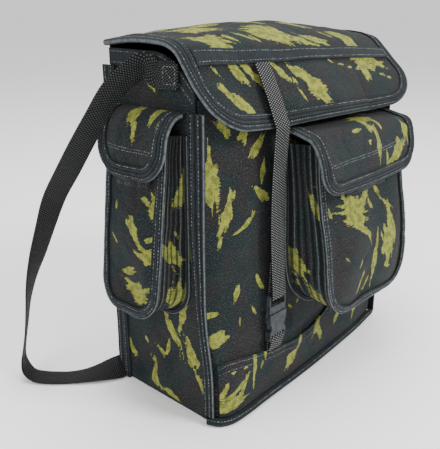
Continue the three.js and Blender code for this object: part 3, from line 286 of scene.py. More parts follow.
def flap_relief(x, along):
    top = smooth(CROWN_ALONG + 8, CROWN_ALONG - 20, along)
    front = smooth(CROWN_ALONG + 6, CROWN_ALONG + 24, along)
    soft = 1.6 * ripple(x, along, 80, 21) + 0.3 * crumple(x, along, 80, 22)
    hollow = -2.5 * bump(x, -118, 26) + 2.2 * bump(x, 12, 38) - 1.5 * bump(x, 112, 26)
    inside = smooth(0, 14, along) * smooth(FLAP_HALF_W, FLAP_HALF_W - 14, np.abs(x))
    return inside * (soft * (0.6 + 0.4 * top) + hollow * front * smooth(0, 1, front))


def flap_surface(x, along):
    across = x / FLAP_HALF_W
    down = smooth(CROWN_ALONG, FLAP_LENGTH, along)
    pull = bump(across, STRAP_PULL["across"], STRAP_PULL["reach"])
    past = (across - FLAP_FOLD["across"]) / FLAP_FOLD["edge"]
    fold = (FLAP_FOLD_DEPTH * smooth(-0.5, 0.5, past)
            * np.exp(-np.maximum(across - FLAP_FOLD["across"], 0) / FLAP_FOLD["reach"]))
    back = pull * STRAP_PULL["back"] * FLAP_LEAN + fold
    sunk = pull * STRAP_PULL["down"] * FLAP_DROP + fold * 0.4
    y = bend_across(flap_y, FLAP_ALONG, across, along) + back * down
    z = bend_across(flap_z, FLAP_ALONG, across, along) - sunk * down
    lift = flap_relief(x, along)
    tilt = smooth(CROWN_ALONG - 30, CROWN_ALONG + 40, along)
    return points(x, y - lift * tilt, z + lift * (1 - tilt * 0.7))


# Mesh makers

def mesh_object(name, vertices, faces, uvs=None, smooth_angle=40, fields=None):
    """A mesh piece from vertices in millimetres, with a pair of lengths on the cloth per vertex and
    named fields that its material reads."""
    mesh = bpy.data.meshes.new(name)
    vertices = np.asarray(vertices, float).reshape(-1, 3) * METRES
    mesh.from_pydata(vertices.tolist(), [], faces)
    if uvs is not None:
        layer = mesh.uv_layers.new(name="cloth")
        loops = np.empty(len(mesh.loops), dtype=np.int32)
        mesh.loops.foreach_get("vertex_index", loops)
        layer.data.foreach_set("uv", (np.asarray(uvs, float) * METRES)[loops].ravel())
    for key, values in (fields or {}).items():
        attribute = mesh.attributes.new(key, "FLOAT", "POINT")
        attribute.data.foreach_set("value", np.asarray(values, np.float32).ravel())
    face_up(mesh)
    mesh.shade_smooth()
    mesh.set_sharp_from_angle(angle=math.radians(smooth_angle))
    piece = bpy.data.objects.new("sewn_" + name, mesh)
    bpy.context.scene.collection.objects.link(piece)
    return piece


def face_up(mesh):
    """Turn a closed mesh's faces outwards."""
    work = bmesh.new()
    work.from_mesh(mesh)
    if work.calc_volume(signed=True) < 0:
        bmesh.ops.reverse_faces(work, faces=work.faces[:])
    work.to_mesh(mesh)
    work.free()


def grid_faces(rows, columns, start=0, closed=False):
    """Quads of a grid of points; a closed grid's last column joins its first."""
    row, column = np.meshgrid(np.arange(rows - 1), np.arange(columns - (0 if closed else 1)),
                              indexing="ij")
    here = row * columns + column
    beside = row * columns + (column + 1) % columns
    quads = np.stack([here, beside, beside + columns, here + columns], axis=-1) + start
    return quads.reshape(-1, 4)


def sheet_mesh(name, surface, a, b, thickness=CLOTH, mirror=False, strokes=None):
    """A closed sheet of even thickness over a surface, at a grid of places on the cloth; it keeps its
    cut, which is its width, length and area in millimetres."""
    normal = normal_of(surface, a, b)
    middle = surface(a, b)
    layers = [middle + normal * thickness / 2, middle - normal * thickness / 2]
    rows, columns = a.shape
    count = rows * columns
    front = grid_faces(rows, columns)
    back = grid_faces(rows, columns, count)[:, ::-1]
    index = np.arange(count).reshape(rows, columns)
    rim = np.concatenate([index[0, :-1], index[:-1, -1], index[-1, :0:-1], index[:0:-1, 0]])
    follow = np.roll(rim, -1)
    edge = np.stack([rim, rim + count, follow + count, follow], axis=-1)
    vertices = np.concatenate([layer.reshape(-1, 3) for layer in layers])
    if mirror:
        vertices = vertices * [-1, 1, 1]
    uv = np.stack([a.ravel(), b.ravel()], axis=-1)
    fields = {}
    if strokes is not None:
        fields["paint"] = np.tile(stroke_field(strokes, a, b).ravel(), 2)
    faces = np.concatenate([front, back, edge]).tolist()
    piece = mesh_object(name, vertices, faces, np.concatenate([uv, uv]), fields=fields)
    width = np.linalg.norm(np.diff(middle, axis=1), axis=-1).sum(axis=1).max()
    length = np.linalg.norm(np.diff(middle, axis=0), axis=-1).sum(axis=0).max()
    cross = np.cross(middle[1:, 1:] - middle[:-1, :-1], middle[1:, :-1] - middle[:-1, 1:])
    area = np.linalg.norm(cross, axis=-1).sum() / 2
    piece["cut"] = (float(width), float(length), float(area))
    return piece


def ring_mesh(name, rings, along, mirror=False, around=None, lines=None, strokes=None):
    """A solid through closed rings of points, its two ends closed; along is each ring's distance, around
    each point's, and lines how much painted highlight (over 0) or painted shade lies along each point,
    which the webbing reads instead as how strongly its light threads show."""
    rings = np.asarray(rings, float)
    count, sides = rings.shape[:2]
    faces = grid_faces(count, sides, closed=True).tolist()
    faces.append(list(range(sides))[::-1])
    faces.append([(count - 1) * sides + side for side in range(sides)])
    if around is None:
        around = distances(rings[0])
    uv = np.stack(np.broadcast_arrays(around[None, :], np.asarray(along)[:, None]), axis=-1)
    vertices = rings * [-1, 1, 1] if mirror else rings
    fields = {}
    if lines is not None:
        fields["lines"] = np.tile(lines, count)
    if strokes is not None:
        fields["paint"] = stroke_field(strokes, uv[..., 0], uv[..., 1])
    return mesh_object(name, vertices, faces, uv.reshape(-1, 2), fields=fields)


def distances(line):
    return np.concatenate([[0], np.cumsum(np.linalg.norm(np.diff(line, axis=0), axis=-1))])


def even_line(line, step, *others):
    """A line's points, and what goes with them, read again at even steps."""
    reach = distances(line)
    count = max(int(reach[-1] / step), 2)
    at = np.linspace(0, reach[-1], count + 1)

    def spread(values):
        return np.stack([read_table((reach, column), at) for column in values.T], axis=-1)
    return [spread(values) for values in (line, *others)]


# Stitches: rows of short threads lying on a tape or a cloth.

THREAD = {"pitch": 3.4, "length": 2.652, "radius": 0.36, "sides": 5}


def stitch_row(surface, a, b, lift, outward=-1):
    """Points at a lift off a surface's outer side, and their outward directions."""
    away = normal_of(surface, a, b) * outward
    return surface(a, b) + away * lift, away


def add_stitches(name, rows, mirror=False):
    """Threads along rows, each row a pair of points and outward directions."""
    vertices = []
    faces = []
    sides = THREAD["sides"]
    radius = THREAD["radius"]
    shares = np.array([-0.5, -0.3, 0.3, 0.5])
    sizes = np.array([0.25, 1, 1, 0.25])
    sinks = np.array([-0.9, 0.1, 0.1, -0.9])
    turns = np.arange(sides) * math.tau / sides
    for line, outward in rows:
        spots, lifts = even_line(line, THREAD["pitch"], outward)
        for here, ahead, lift in zip(spots[:-1], spots[1:], lifts[:-1]):
            way = (ahead - here) / np.linalg.norm(ahead - here)
            lift = lift - way * (lift @ way)
            lift = lift / np.linalg.norm(lift)
            side = np.cross(way, lift)
            start = len(vertices)
            centre = (here + ahead) / 2
            for share, size, sink in zip(shares, sizes, sinks):
                for turn in turns:
                    vertices.append(centre + way * share * THREAD["length"]
                                    + side * math.cos(turn) * radius * size
                                    + lift * radius * (math.sin(turn) * size + sink))
            faces.extend(grid_faces(len(shares), sides, start, closed=True).tolist())
            last = start + (len(shares) - 1) * sides
            faces.append(list(range(start, start + sides))[::-1])
            faces.append(list(range(last, last + sides)))
    threads = mesh_object(name, np.array(vertices) * [-1 if mirror else 1, 1, 1], faces, smooth_angle=60)
    declare(threads, "thread")
    return threads


# Tapes along edges

def edge_path(reach, length, left, right, start, counts):
    """Places on a flap's edge from its upper left end round to its upper right end, each with the
    direction that leads in from the edge; counts are for a side, a corner and the lower edge."""
    sides, corner, low = counts
    turns = np.linspace(0, math.pi / 2, corner + 1)
    rows = [(-reach, share, 1, 0) for share in np.linspace(start, length - left, sides + 1)[:-1]]
    for turn in turns:
        in_a, in_b = math.cos(turn), -math.sin(turn)
        rows.append((-reach + left - left * in_a, length - left - left * in_b, in_a, in_b))
    rows.extend((place, length, 0, -1) for place in np.linspace(-reach + left, reach - right, low)[1:-1])
    for turn in turns:
        in_a, in_b = -math.sin(turn), -math.cos(turn)
        rows.append((reach - right - right * in_a, length - right - right * in_b, in_a, in_b))
    rows.extend((reach, share, -1, 0) for share in np.linspace(length - right, start, sides + 1)[1:])
    return np.array(rows, float)


def tape_places(surface, path, inward, off):
    """Points at a distance in from the edge and off the surface, for every place on a path."""
    a = path[:, 0, None] + path[:, 2, None] * inward[None, :]
    b = path[:, 1, None] + path[:, 3, None] * inward[None, :]
    return surface(a, b) + normal_of(surface, a, b) * off[None, :, None]


def path_length(surface, path):
    return distances(surface(path[:, 0], path[:, 1]))


def folded_section(width, thickness, ridges):
    """A tape folded over a cloth's edge: rounded outside, its two faces ribbed lengthwise."""
    inner = CLOTH / 2 + FOLD_CLEARANCE
    outer = inner + thickness
    face_in = np.linspace(width, 1.0, 6 * ridges + 1)
    rib = 0.28 * np.cos((face_in - 1.0) / (width - 1.0) * math.tau * ridges)
    taper = smooth(width, width - 1.2, face_in)
    face_off = outer - 0.5 + (0.3 + rib) * taper
    turns = np.linspace(math.pi / 2, -math.pi / 2, 9)[1:-1]
    nose_in = 0.6 - np.cos(turns) * (thickness + 1.1)
    nose_off = np.sin(turns) * (outer - 0.1)
    inward = np.concatenate([[width], face_in, nose_in, face_in[::-1], [width], [-0.3, -0.3]])
    off = np.concatenate([[inner], face_off, nose_off, -face_off[::-1], [-inner], [-inner, inner]])
    # lines for the material: painted shade in the ribs' grooves, painted highlight on the rib tops and a
    # strong painted highlight along the rounded nose of the fold
    ribbed = rib / 0.28 * 0.5 * taper
    nose_highlight = bump(turns, 0, 0.75) * 1.3
    lines = np.concatenate([[0], ribbed, nose_highlight, ribbed[::-1], [0, 0, 0]])
    return inward, off, lines


def flat_section(inner, outer, low, high, ridges):
    """A flat tape beside an edge, ribbed on its outer face (towards -normal)."""
    face_in = np.linspace(outer, inner, 6 * ridges + 1)
    middle = (face_in - inner) / (outer - inner)
    rib = 0.3 * np.cos(middle * math.tau * ridges)
    crown = 0.55 * np.sin(math.pi * middle)
    inward = np.concatenate([face_in, [inner, outer]])
    off = np.concatenate([-high + 0.5 - rib - crown, [-low, -low]])
    # lines for the material: painted highlight along the tape's inner edge, and painted shade and
    # highlight on its ribs
    edge = bump(face_in, inner, 0.7) * 1.2
    lines = np.concatenate([rib / 0.3 * 0.5 + edge, [0, 0]])
    return inward, off, lines


def edge_tape(name, surface, path, section, mirror=False):
    inward, off, lines = section
    rings = tape_places(surface, path, inward, off)
    return ring_mesh(name, rings, path_length(surface, path), mirror, lines=lines)


def tape_stitch_rows(surface, path, inward_places, lift):
    """Stitch rows on the outer face of a tape, each at a distance in from the edge."""
    return [stitch_row(surface, path[:, 0] + path[:, 2] * inward, path[:, 1] + path[:, 3] * inward, lift)
            for inward in inward_places]


# Grids of places on a cloth

def steps_between(low, high, step):
    return np.linspace(low, high, max(int((high - low) / step), 2) + 1)


def grid(a_low, a_high, b_low, b_high, step):
    return np.meshgrid(steps_between(a_low, a_high, step), steps_between(b_low, b_high, step))


def under_edge(a, low, high, step):
    """Places from a low to a high edge, for every place across."""
    rows = max(int(np.max(high - low) / step), 2) + 1
    share = np.linspace(0, 1, rows)[:, None]
    return a[None, :] + 0 * share, low + (high - low)[None, :] * share


def rounded_grid(reach, length, left, right, turn_steps):
    """Places over a panel whose lower corners are round, with a radius for each."""
    radius = max(left, right)
    turns = np.linspace(0, math.pi / 2, turn_steps + 1)[:-1]
    down = np.concatenate([np.arange(0, length - radius, FINE_STEP),
                           length - radius + radius * np.sin(turns), [length - 0.05]])
    share = np.linspace(0, 1, int(2 * reach / FINE_STEP) + 1)
    sides = []
    for corner in (left, right):
        into = np.clip(down - (length - corner), 0, corner)
        sides.append((reach - corner + np.sqrt(corner ** 2 - into ** 2))[:, None])
    return -sides[0] + (sides[0] + sides[1]) * share, down[:, None] + 0 * share


# Paint strokes: place across and down the cloth (up it, on the walls), length, width, turn in degrees
# and, where it isn't straight, bend. Their field is over 0 inside a stroke; the material roughens the
# edge.

STROKE_POWER = 2.5


def stroke_field(strokes, a, b):
    field = np.full(a.shape, -1.0)
    for row, stroke in enumerate(strokes):
        at_a, at_b, length, width, turn, bend = (*stroke, 0)[:6]
        angle = math.radians(turn)
        along = (a - at_a) * math.cos(angle) + (b - at_b) * math.sin(angle)
        across = -(a - at_a) * math.sin(angle) + (b - at_b) * math.cos(angle)
        across = across - bend * (along / length) ** 2 * length
        ragged = 1 + 0.42 * ripple(across, along * 0.12, 4.2, 300 + row)
        wider = 1 + 0.22 * ripple(along, 0 * along, 13, 400 + row)
        far = np.abs(along) / (length / 2 * np.maximum(ragged, 0.3))
        wide = np.abs(across) / (width / 2 * wider)
        inside = 1 - (far ** STROKE_POWER + wide ** STROKE_POWER) ** (1 / STROKE_POWER)
        field = np.maximum(field, inside)
    return field


def scattered(a_low, a_high, b_low, b_high, count, seed, turn=55):
    """Strokes strewn over a cloth, in even cells so that none is left bare."""
    rng = np.random.default_rng(SEED * 100 + seed)
    rows = []
    columns = max(int(math.sqrt(count * (a_high - a_low) / (b_high - b_low))), 1)
    lines = max(int(math.ceil(count / columns)), 1)
    for column in range(columns):
        for line in range(lines):
            at_a = a_low + (column + rng.uniform(0.1, 0.9)) / columns * (a_high - a_low)
            at_b = b_low + (line + rng.uniform(0.1, 0.9)) / lines * (b_high - b_low)
            length = rng.uniform(18, 48)
            rows.append((at_a, at_b, length, length * rng.uniform(0.2, 0.55),
                         turn + rng.uniform(-35, 35), rng.uniform(-0.25, 0.25)))
            near = rng.uniform(-22, 22, 2)
            rows.append((at_a + near[0], at_b + near[1], rng.uniform(7, 17), rng.uniform(2.5, 5),
                         turn + rng.uniform(-40, 40)))
    return rows


# Body pieces

SIDE_FRONT = -HALF_D + 2
SIDE_BACK = HALF_D - 1.3


def side_surface(end):
    """The left wall between the seams; its front edge follows the front wall at the given end."""
    def surface(y, z):
        share = (y - SIDE_FRONT) / (SIDE_BACK - SIDE_FRONT)
        return left_wall(y - seam_forward(end, z) * (1 - share), z)
    return surface


def add_walls():
    x = steps_between(-HALF_W, HALF_W, 2.1)
    a, b = under_edge(x, WALL_LOW, FRONT_WALL_HEIGHT + 0 * x, 2.1)
    front = sheet_mesh("front_panel", front_wall, a, b, strokes=strokes_for("front"))
    declare(front, "camo_canvas")
    a, b = under_edge(x, 0, 1 + 0 * x, 0.1)
    bottom = sheet_mesh("bottom_panel", bottom_surface, a, b, strokes=[])
    depth = HALF_D - bottom_line(x)
    bottom["cut"] = (BAG_WIDTH, float(depth.max()), float(BAG_WIDTH * depth.mean()))
    declare(bottom, "camo_canvas")
    a, b = under_edge(x, WALL_LOW, back_top(x), 3.2)
    back = sheet_mesh("back_panel", back_wall, a, b, strokes=strokes_for("back"))
    declare(back, "camo_canvas")


def bottom_line(x):
    return -HALF_D - front_bulge(x, 0)


def bottom_surface(x, share):
    """The bottom from its front edge, at share 0, to the back wall."""
    return points(x, bottom_line(x) * (1 - share) + HALF_D * share, 1.0)


def back_top(x):
    under_tape = np.where(np.abs(x) > FLAP_HALF_W - BINDING_WIDTH - 0.5, BINDING_THICK + 0.5, 0)
    return flap_surface(x, 0 * x)[..., 2] - LAYER_OFF - under_tape


def back_wall(x, z):
    inside = smooth(-HALF_W, -HALF_W + 25, x) * smooth(HALF_W, HALF_W - 25, x)
    inside = inside * smooth(0, 25, z) * smooth(WALL_HEIGHT - 4, WALL_HEIGHT - 40, z)
    lift = 1.6 * ripple(x, z * 0.6, 110, 31) + 0.3 * crumple(x, z * 0.6, 120, 32)
    return points(x, HALF_D + inside * (lift - 0.8), z)


def add_sides():
    for side, end in SIDES:
        mirror = end > 0
        surface = side_surface(end)
        y = steps_between(SIDE_FRONT, SIDE_BACK, 2.4)
        a, b = under_edge(y, WALL_LOW, side_top(y), 2.6)
        panel = sheet_mesh(side + "_side_panel", surface, a, b, mirror=mirror, strokes=strokes_for(side))
        declare(panel, "camo_canvas")
        a, b = under_edge(y, side_top(y) - HEM_TAPE_HEIGHT, side_top(y), 2.0)
        hem = sheet_mesh(side + "_side_hem_tape", offset(surface, -HEM_TAPE_OFF), a, b, HEM_TAPE_THICK,
                         mirror)
        declare(hem, "binding_tape")
        y = steps_between(SIDE_FRONT + 2, SIDE_BACK - 2, ROW_STEP)
        lift = HEM_TAPE_OFF + HEM_TAPE_THICK / 2
        rows = [stitch_row(surface, y, side_top(y) - down, lift) for down in (2.5, 12.5)]
        add_stitches(side + "_hem_stitches", rows, mirror)


# The seam tapes' lower ends, by seam (-1 front, 1 rear) and side (-1 left, 1 right). The front ones
# end above the piping, the right one lower than its CAD solid to close the corner.
SEAM_TAPE_LOW = {(-1, -1): 8.9, (-1, 1): 5.6, (1, -1): 0.3, (1, 1): 0.3}


def seam_tape_rings(seam, end):
    """Rings of a tape that lies on the wall beside a seam and stands past it, ribbed outside."""
    top = float(side_top(np.array(seam * HALF_D))) - HEM_TAPE_HEIGHT - 0.6
    bottom = SEAM_TAPE_LOW[seam, end]
    z = steps_between(bottom, top, ROW_STEP)
    narrowed = 0.35 + 0.65 * smooth(0.3, 0.6, z / WALL_HEIGHT)
    on_wall = SEAM_TAPE_ON_WALL * (narrowed if seam < 0 else 1 + 0 * z)
    share = np.linspace(0, 1, 19)
    rib = 0.28 * np.cos(share * math.tau * 3)
    edge = 1 - np.abs(2 * share - 1) ** 8
    outer = SEAM_TAPE_OFF + SEAM_TAPE_THICK - 0.9 * (1 - edge) - 0.3 + rib * edge
    around = np.concatenate([share, [1, 0]])
    out = np.concatenate([outer, [SEAM_TAPE_OFF, SEAM_TAPE_OFF]])
    low = seam * (HALF_D - on_wall)[:, None]
    high = seam * (HALF_D + SEAM_TAPE_FIN)
    y = low + (high - low) * around[None, :]
    wave = 0.225 * ripple(z, 0 * z, 60, 40 + seam)
    ahead = seam_forward(end, z) if seam < 0 else 0 * z
    z_all = z[:, None] + 0 * y
    x = left_wall(y, z_all)[..., 0] - out - wave[:, None] * around ** 2
    # lines for the material: painted shade and highlight on the three ribs, and a painted highlight along
    # the fin's outer edge
    lines = np.concatenate([0.55 * np.cos(share * math.tau * 3) + 0.8 * bump(share, 1, 0.03), [0, 0]])
    return points(x, y - ahead[:, None], z_all), z, lines


def add_seam_tapes():
    for side, end in SIDES:
        mirror = end > 0
        for place, seam in (("front", -1), ("rear", 1)):
            rings, z, ribs = seam_tape_rings(seam, end)
            name = side + "_" + place + "_seam_tape"
            declare(ring_mesh(name, rings, z, mirror, lines=ribs), "binding_tape")
            out = np.tile([-1.0, 0, 0], (len(z), 1))
            rows = [(rings[:, column] + out * 0.05, out) for column in (4, 13)]
            add_stitches(name + "_stitches", rows, mirror)


def add_piping():
    x = steps_between(-HALF_W + 0.3, HALF_W - 0.3, 1.5)
    z = 0 * x + PIPING_RADIUS
    level = normal_of(front_wall, x, z) * [1, 1, 0]
    level = level / np.linalg.norm(level, axis=-1, keepdims=True)
    middle = front_wall(x, z) + level * (PIPING_RADIUS + 1.3)
    middle[:, 2] = PIPING_RADIUS + 0.3
    turns = np.linspace(0, math.tau, 25)[:-1]
    radius = PIPING_RADIUS - 0.25 + 0.2 * np.cos(turns * 6)
    up = np.array([0, 0, 1.0])
    rings = (middle[:, None, :] + level[:, None, :] * (np.cos(turns) * radius)[None, :, None]
             + up * (np.sin(turns) * radius)[None, :, None])
    declare(ring_mesh("front_piping", rings, distances(middle)), "binding_tape")
    line = rings[:, 3]
    add_stitches("piping_stitches", [(line, line - middle)])


def band_surface(x, z):
    puff = np.maximum(0.9 * ripple(x, z, 40, 51) + 0.9 * bump(z, base_band_top(x) - 9, 5), 0)
    puff = puff * (1 - behind_buckle(x, z))
    rim = smooth(0, 6, base_band_top(x) - z) * smooth(BASE_BAND_LOW, 16, z)
    base = offset(front_wall, BASE_BAND_OFF)(x, z)
    base[..., 1] = base[..., 1] - puff * rim * 0.6
    return base


def add_base_band():
    x = steps_between(-HALF_W * 0.97, HALF_W * 0.97, 2.5)
    a, b = under_edge(x, BASE_BAND_LOW, base_band_top(x), 2.2)
    band = sheet_mesh("base_band", band_surface, a, b, BASE_BAND_THICK, strokes=strokes_for("band"))
    declare(band, "camo_canvas")
    rows = [stitch_row(band_surface, x, base_band_top(x) - down, BASE_BAND_THICK / 2, outward=1)
            for down in (2.5, 8)]
    add_stitches("base_band_stitches", rows)


# Main flap pieces

def add_edged_flap(name, surface, reach, length, radius, start, mirror=False):
    """A flap with round lower corners, the tape folded over its edge and the tape's stitches."""
    a, b = rounded_grid(reach, length, radius, radius, int(radius * 1.5 / FINE_STEP))
    panel = sheet_mesh(name, surface, a, b, mirror=mirror, strokes=strokes_for(name))
    counts = (int(length / TAPE_STEP), int(radius * 1.57 / TAPE_STEP) + 2, int(2 * reach / TAPE_STEP))
    path = edge_path(reach, length, radius, radius, start, counts)
    section = folded_section(BINDING_WIDTH, BINDING_THICK, 3)
    binding = edge_tape(name + "_binding", surface, path, section, mirror)
    lift = CLOTH / 2 + FOLD_CLEARANCE + BINDING_THICK - 0.15
    rows = tape_stitch_rows(surface, path, (1.6, BINDING_WIDTH - 1.8), lift)
    threads = add_stitches(name + "_binding_stitches", rows, mirror)
    declare(binding, "binding_tape")
    declare(panel, "camo_canvas")


def add_main_flap():
    add_edged_flap("main_flap", flap_surface, FLAP_HALF_W, FLAP_LENGTH, FLAP_RADIUS, 0)
    reach = FLAP_HALF_W - BINDING_WIDTH - SEAM_GAP
    a, b = grid(-reach, reach, CROWN_ALONG, CROWN_ALONG + CROWN_BAND_WIDTH, FINE_STEP)
    band = sheet_mesh("crown_band", offset(flap_surface, -CROWN_BAND_OFF), a, b, CROWN_BAND_THICK)
    declare(band, "binding_tape")
    x = steps_between(-reach + 2, reach - 2, ROW_STEP)
    rows = [stitch_row(flap_surface, x, 0 * x + CROWN_ALONG + down, CROWN_BAND_OFF + 0.8)
            for down in (2.5, CROWN_BAND_WIDTH - 2.5)]
    add_stitches("crown_band_stitches", rows)


# Straps and buckle

def strap_mesh(name, line, widths, width, mirror=False, light=0.0):
    """A webbing strap with rolled edges along a line, its width direction given at each place;
    light says how strongly its weave's light threads show."""
    way = np.gradient(line, axis=0)
    way = way / np.linalg.norm(way, axis=-1, keepdims=True)
    widths = widths - way * (widths * way).sum(axis=-1, keepdims=True)
    widths = widths / np.linalg.norm(widths, axis=-1, keepdims=True)
    normal = np.cross(way, widths)
    across = np.linspace(-1, 1, 15)
    swell = np.maximum(1 - np.abs(across) ** 14, 0.25)
    selvedge = 1 + 0.18 * bump(np.abs(across), 0.93, 0.05)
    high = WEBBING_THICK / 2 * swell * np.minimum(selvedge, 1.12) * 0.94
    side = np.concatenate([across, across[::-1]]) * width / 2
    lift = np.concatenate([high, -high[::-1]])
    rings = (line[:, None, :] + widths[:, None, :] * side[None, :, None]
             + normal[:, None, :] * lift[None, :, None])
    lines = np.full(len(side), light)
    return ring_mesh(name, rings, distances(line), mirror, around=side, lines=lines)


STRAP_STANDOFF = 1 + 0.3 + WEBBING_THICK / 2
BUCKLE_STANDOFF = 1 + 0.6 + WEBBING_THICK + BUCKLE_BAR / 2 + 0.6
LOOP_RADIUS = BUCKLE_STANDOFF - STRAP_STANDOFF
STRAP_PLACES = CLOSURE_X + np.array([-1, 0, 1]) * CLOSURE_WIDTH / 2
STRAP_BAND_TOP = float(base_band_top(STRAP_PLACES).max())
SOCKET_LOW = STRAP_BAND_TOP + BUCKLE_TAB
SOCKET_TOP = SOCKET_LOW + BUCKLE_SOCKET
FRAME_TOP = SOCKET_TOP + BUCKLE_GAP + BUCKLE_FRAME
FRAME_BAR = FRAME_TOP - BUCKLE_BAR / 2
SOCKET_BAR = SOCKET_LOW + BUCKLE_BAR / 2


def wall_behind_strap(z):
    return float(front_wall(STRAP_PLACES, z + 0 * STRAP_PLACES)[:, 1].min())


def plain_wall_y(z):
    """The front wall behind the strap without its dents, as the buckle's place was set from it."""
    return float((-HALF_D - front_bulge(STRAP_PLACES, z + 0 * STRAP_PLACES)).min())


BUCKLE_Y = min(plain_wall_y(FRAME_TOP), plain_wall_y(SOCKET_LOW)) - BUCKLE_STANDOFF


def round_bar(height, direction):
    turns = np.linspace(0, math.pi, 13)
    return [(CLOSURE_X, BUCKLE_Y - LOOP_RADIUS * math.cos(turn),
             height + direction * LOOP_RADIUS * math.sin(turn)) for turn in turns]


def closure_line():
    start = CROWN_ALONG + CROWN_BAND_WIDTH + 0.5
    end = FLAP_LENGTH + 0.5 + BINDING_THICK
    lift = LAYER_OFF + BINDING_THICK + 0.5 + WEBBING_THICK / 2
    along = steps_between(start, end, 4)
    seats = offset(flap_surface, -lift)(STRAP_PLACES[None, :] + 0 * along[:, None],
                                        along[:, None] + 0 * STRAP_PLACES[None, :])
    line = [(CLOSURE_X, float(row[:, 1].min()), float(row[1, 2])) for row in seats]
    last = line[-1]
    loop_top = FRAME_BAR + LOOP_RADIUS
    front_y = BUCKLE_Y - LOOP_RADIUS

    def hanging(z):
        share = (last[2] - z) / (last[2] - loop_top)
        hung = last[1] + (front_y - last[1]) * share + CLOSURE_SAG * math.sin(math.pi * share)
        return min(hung, wall_behind_strap(z) - STRAP_STANDOFF - CLOSURE_LIFT)

    for z in np.linspace(last[2], loop_top, 40)[1:-1]:
        line.append((CLOSURE_X, hanging(z), z))
    line.extend(round_bar(FRAME_BAR, -1))
    for share in np.linspace(0, 1, 10)[1:]:
        z = FRAME_BAR + 38 * share
        against = hanging(z) + WEBBING_THICK + SEAM_GAP
        line.append((CLOSURE_X, (BUCKLE_Y + LOOP_RADIUS) * (1 - share) + against * share, z))
    return np.array(line)


def tab_line():
    band_top = STRAP_BAND_TOP + 1.6
    wall_y = plain_wall_y(band_top) - STRAP_STANDOFF
    line = [(CLOSURE_X, wall_y - WEBBING_THICK - SEAM_GAP, band_top),
            (CLOSURE_X, BUCKLE_Y - LOOP_RADIUS, SOCKET_LOW - SEAM_GAP)]
    line.extend(round_bar(SOCKET_BAR, 1))
    line.append((CLOSURE_X, wall_y, band_top))
    return np.array(line)


def add_closure():
    level = np.array([1.0, 0, 0])
    for name, line in (("closure_strap", closure_line()), ("buckle_tab", tab_line())):
        declare(strap_mesh(name, line, np.tile(level, (len(line), 1)), CLOSURE_WIDTH, light=1.0),
                "webbing")
    for name in ("buckle_plug", "buckle_socket"):
        add_moulded(name)


def add_moulded(name):
    """A moulded part with its corners rounded."""
    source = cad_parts[name]
    mesh = source.data.copy()
    piece = bpy.data.objects.new(name + "_moulded", mesh)
    bpy.context.scene.collection.objects.link(piece)
    piece.matrix_world = source.matrix_world.copy()
    bevel = piece.modifiers.new("rounding", "BEVEL")
    bevel.width = 0.5 * METRES
    bevel.segments = 3
    bevel.angle_limit = math.radians(35)
    mesh.shade_smooth()
    mesh.set_sharp_from_angle(angle=math.radians(35))
    declare(piece, "buckle_plastic")


# Places on the shoulder strap's way: out (share of its reach), ahead of the rear seam (share of the
# anchor's distance), along the wall to the seam, back behind it, up (share of the anchor's height),
# and the turn of its width in degrees.
SHOULDER_ROUTE = (
    (0, 1.2, 0, 0, 1, 90), (0, 0.85, 0, 0, 1, 90), (0, 0.3, 0, 0, 1, 78),
    (0.035, 0, 0, 0, 1.025, 70), (0.16, 0, 0.16, 0, 1, 60), (0.31, 0, 0.35, 0, 0.954, 56),
    (0.466, 0, 0.51, 0, 0.887, 50), (0.567, 0, 0.75, 0, 0.811, 54),
    (0.63, 0, 1, 0.065, 0.726, 56), (0.68, 0, 1, 0.315, 0.637, 52),
    (0.72, 0, 1, 0.494, 0.543, 41), (0.77, 0, 1, 0.66, 0.443, 30),
    (0.83, 0, 1, 0.79, 0.345, 11), (0.87, 0, 1, 0.86, 0.262, -3), (0.9, 0, 1, 0.91, 0.18, -8),
    (0.935, 0, 1, 0.96, 0.107, -8), (0.955, 0, 1, 0.98, 0.06, -5),
    (0.945, 0, 1, 0.9, 0.022, -2), (0.88, 0, 1, 0.77, 0.008, 0), (0.74, 0, 1, 0.6, 0.006, 0),
    (0.59, 0, 1, 0.458, 0.006, 0), (0.42, 0, 1, 0.31, 0.012, 6), (0.27, 0, 1, 0.185, 0.022, 20),
    (0.15, 0, 1, 0.09, 0.031, 40),
)
SHOULDER_END = {"y": HALF_D + STRAP_SETBACK * 0.02, "z": ANCHOR_HEIGHT * 0.037, "turn": 62}
STRAP_CLEARANCE = 4.1


def shoulder_line():
    out, ahead, seam, back, up, turn = np.array(SHOULDER_ROUTE, float).T
    y = HALF_D * seam + STRAP_SETBACK * back - ANCHOR_FORWARD * ahead
    z = ANCHOR_HEIGHT * up
    wall = left_wall(np.clip(y, -HALF_D, HALF_D), z)[..., 0]
    line = np.stack([wall - STRAP_CLEARANCE - STRAP_REACH * out, y, z], axis=-1)
    ends = [(-HALF_W - 5.0 - away, SHOULDER_END["y"], SHOULDER_END["z"]) for away in (4, 0)]
    line = np.concatenate([line, ends])
    turn = np.radians(np.concatenate([turn, [SHOULDER_END["turn"]] * 2]))
    after = np.concatenate([line[1:], line[-1:]])
    before = np.concatenate([line[:1], line[:-1]])
    way = (after - before) / np.linalg.norm(after - before, axis=-1, keepdims=True)
    level = np.array([-STRAP_SETBACK, -STRAP_REACH, 0]) / math.hypot(STRAP_SETBACK, STRAP_REACH)
    flat = level - way * (way @ level)[:, None]
    flat = flat / np.linalg.norm(flat, axis=-1, keepdims=True)
    upright = np.cross(way, flat)
    widths = flat * np.cos(turn)[:, None] + upright * np.sin(turn)[:, None]
    return even_line(line, 4, widths)


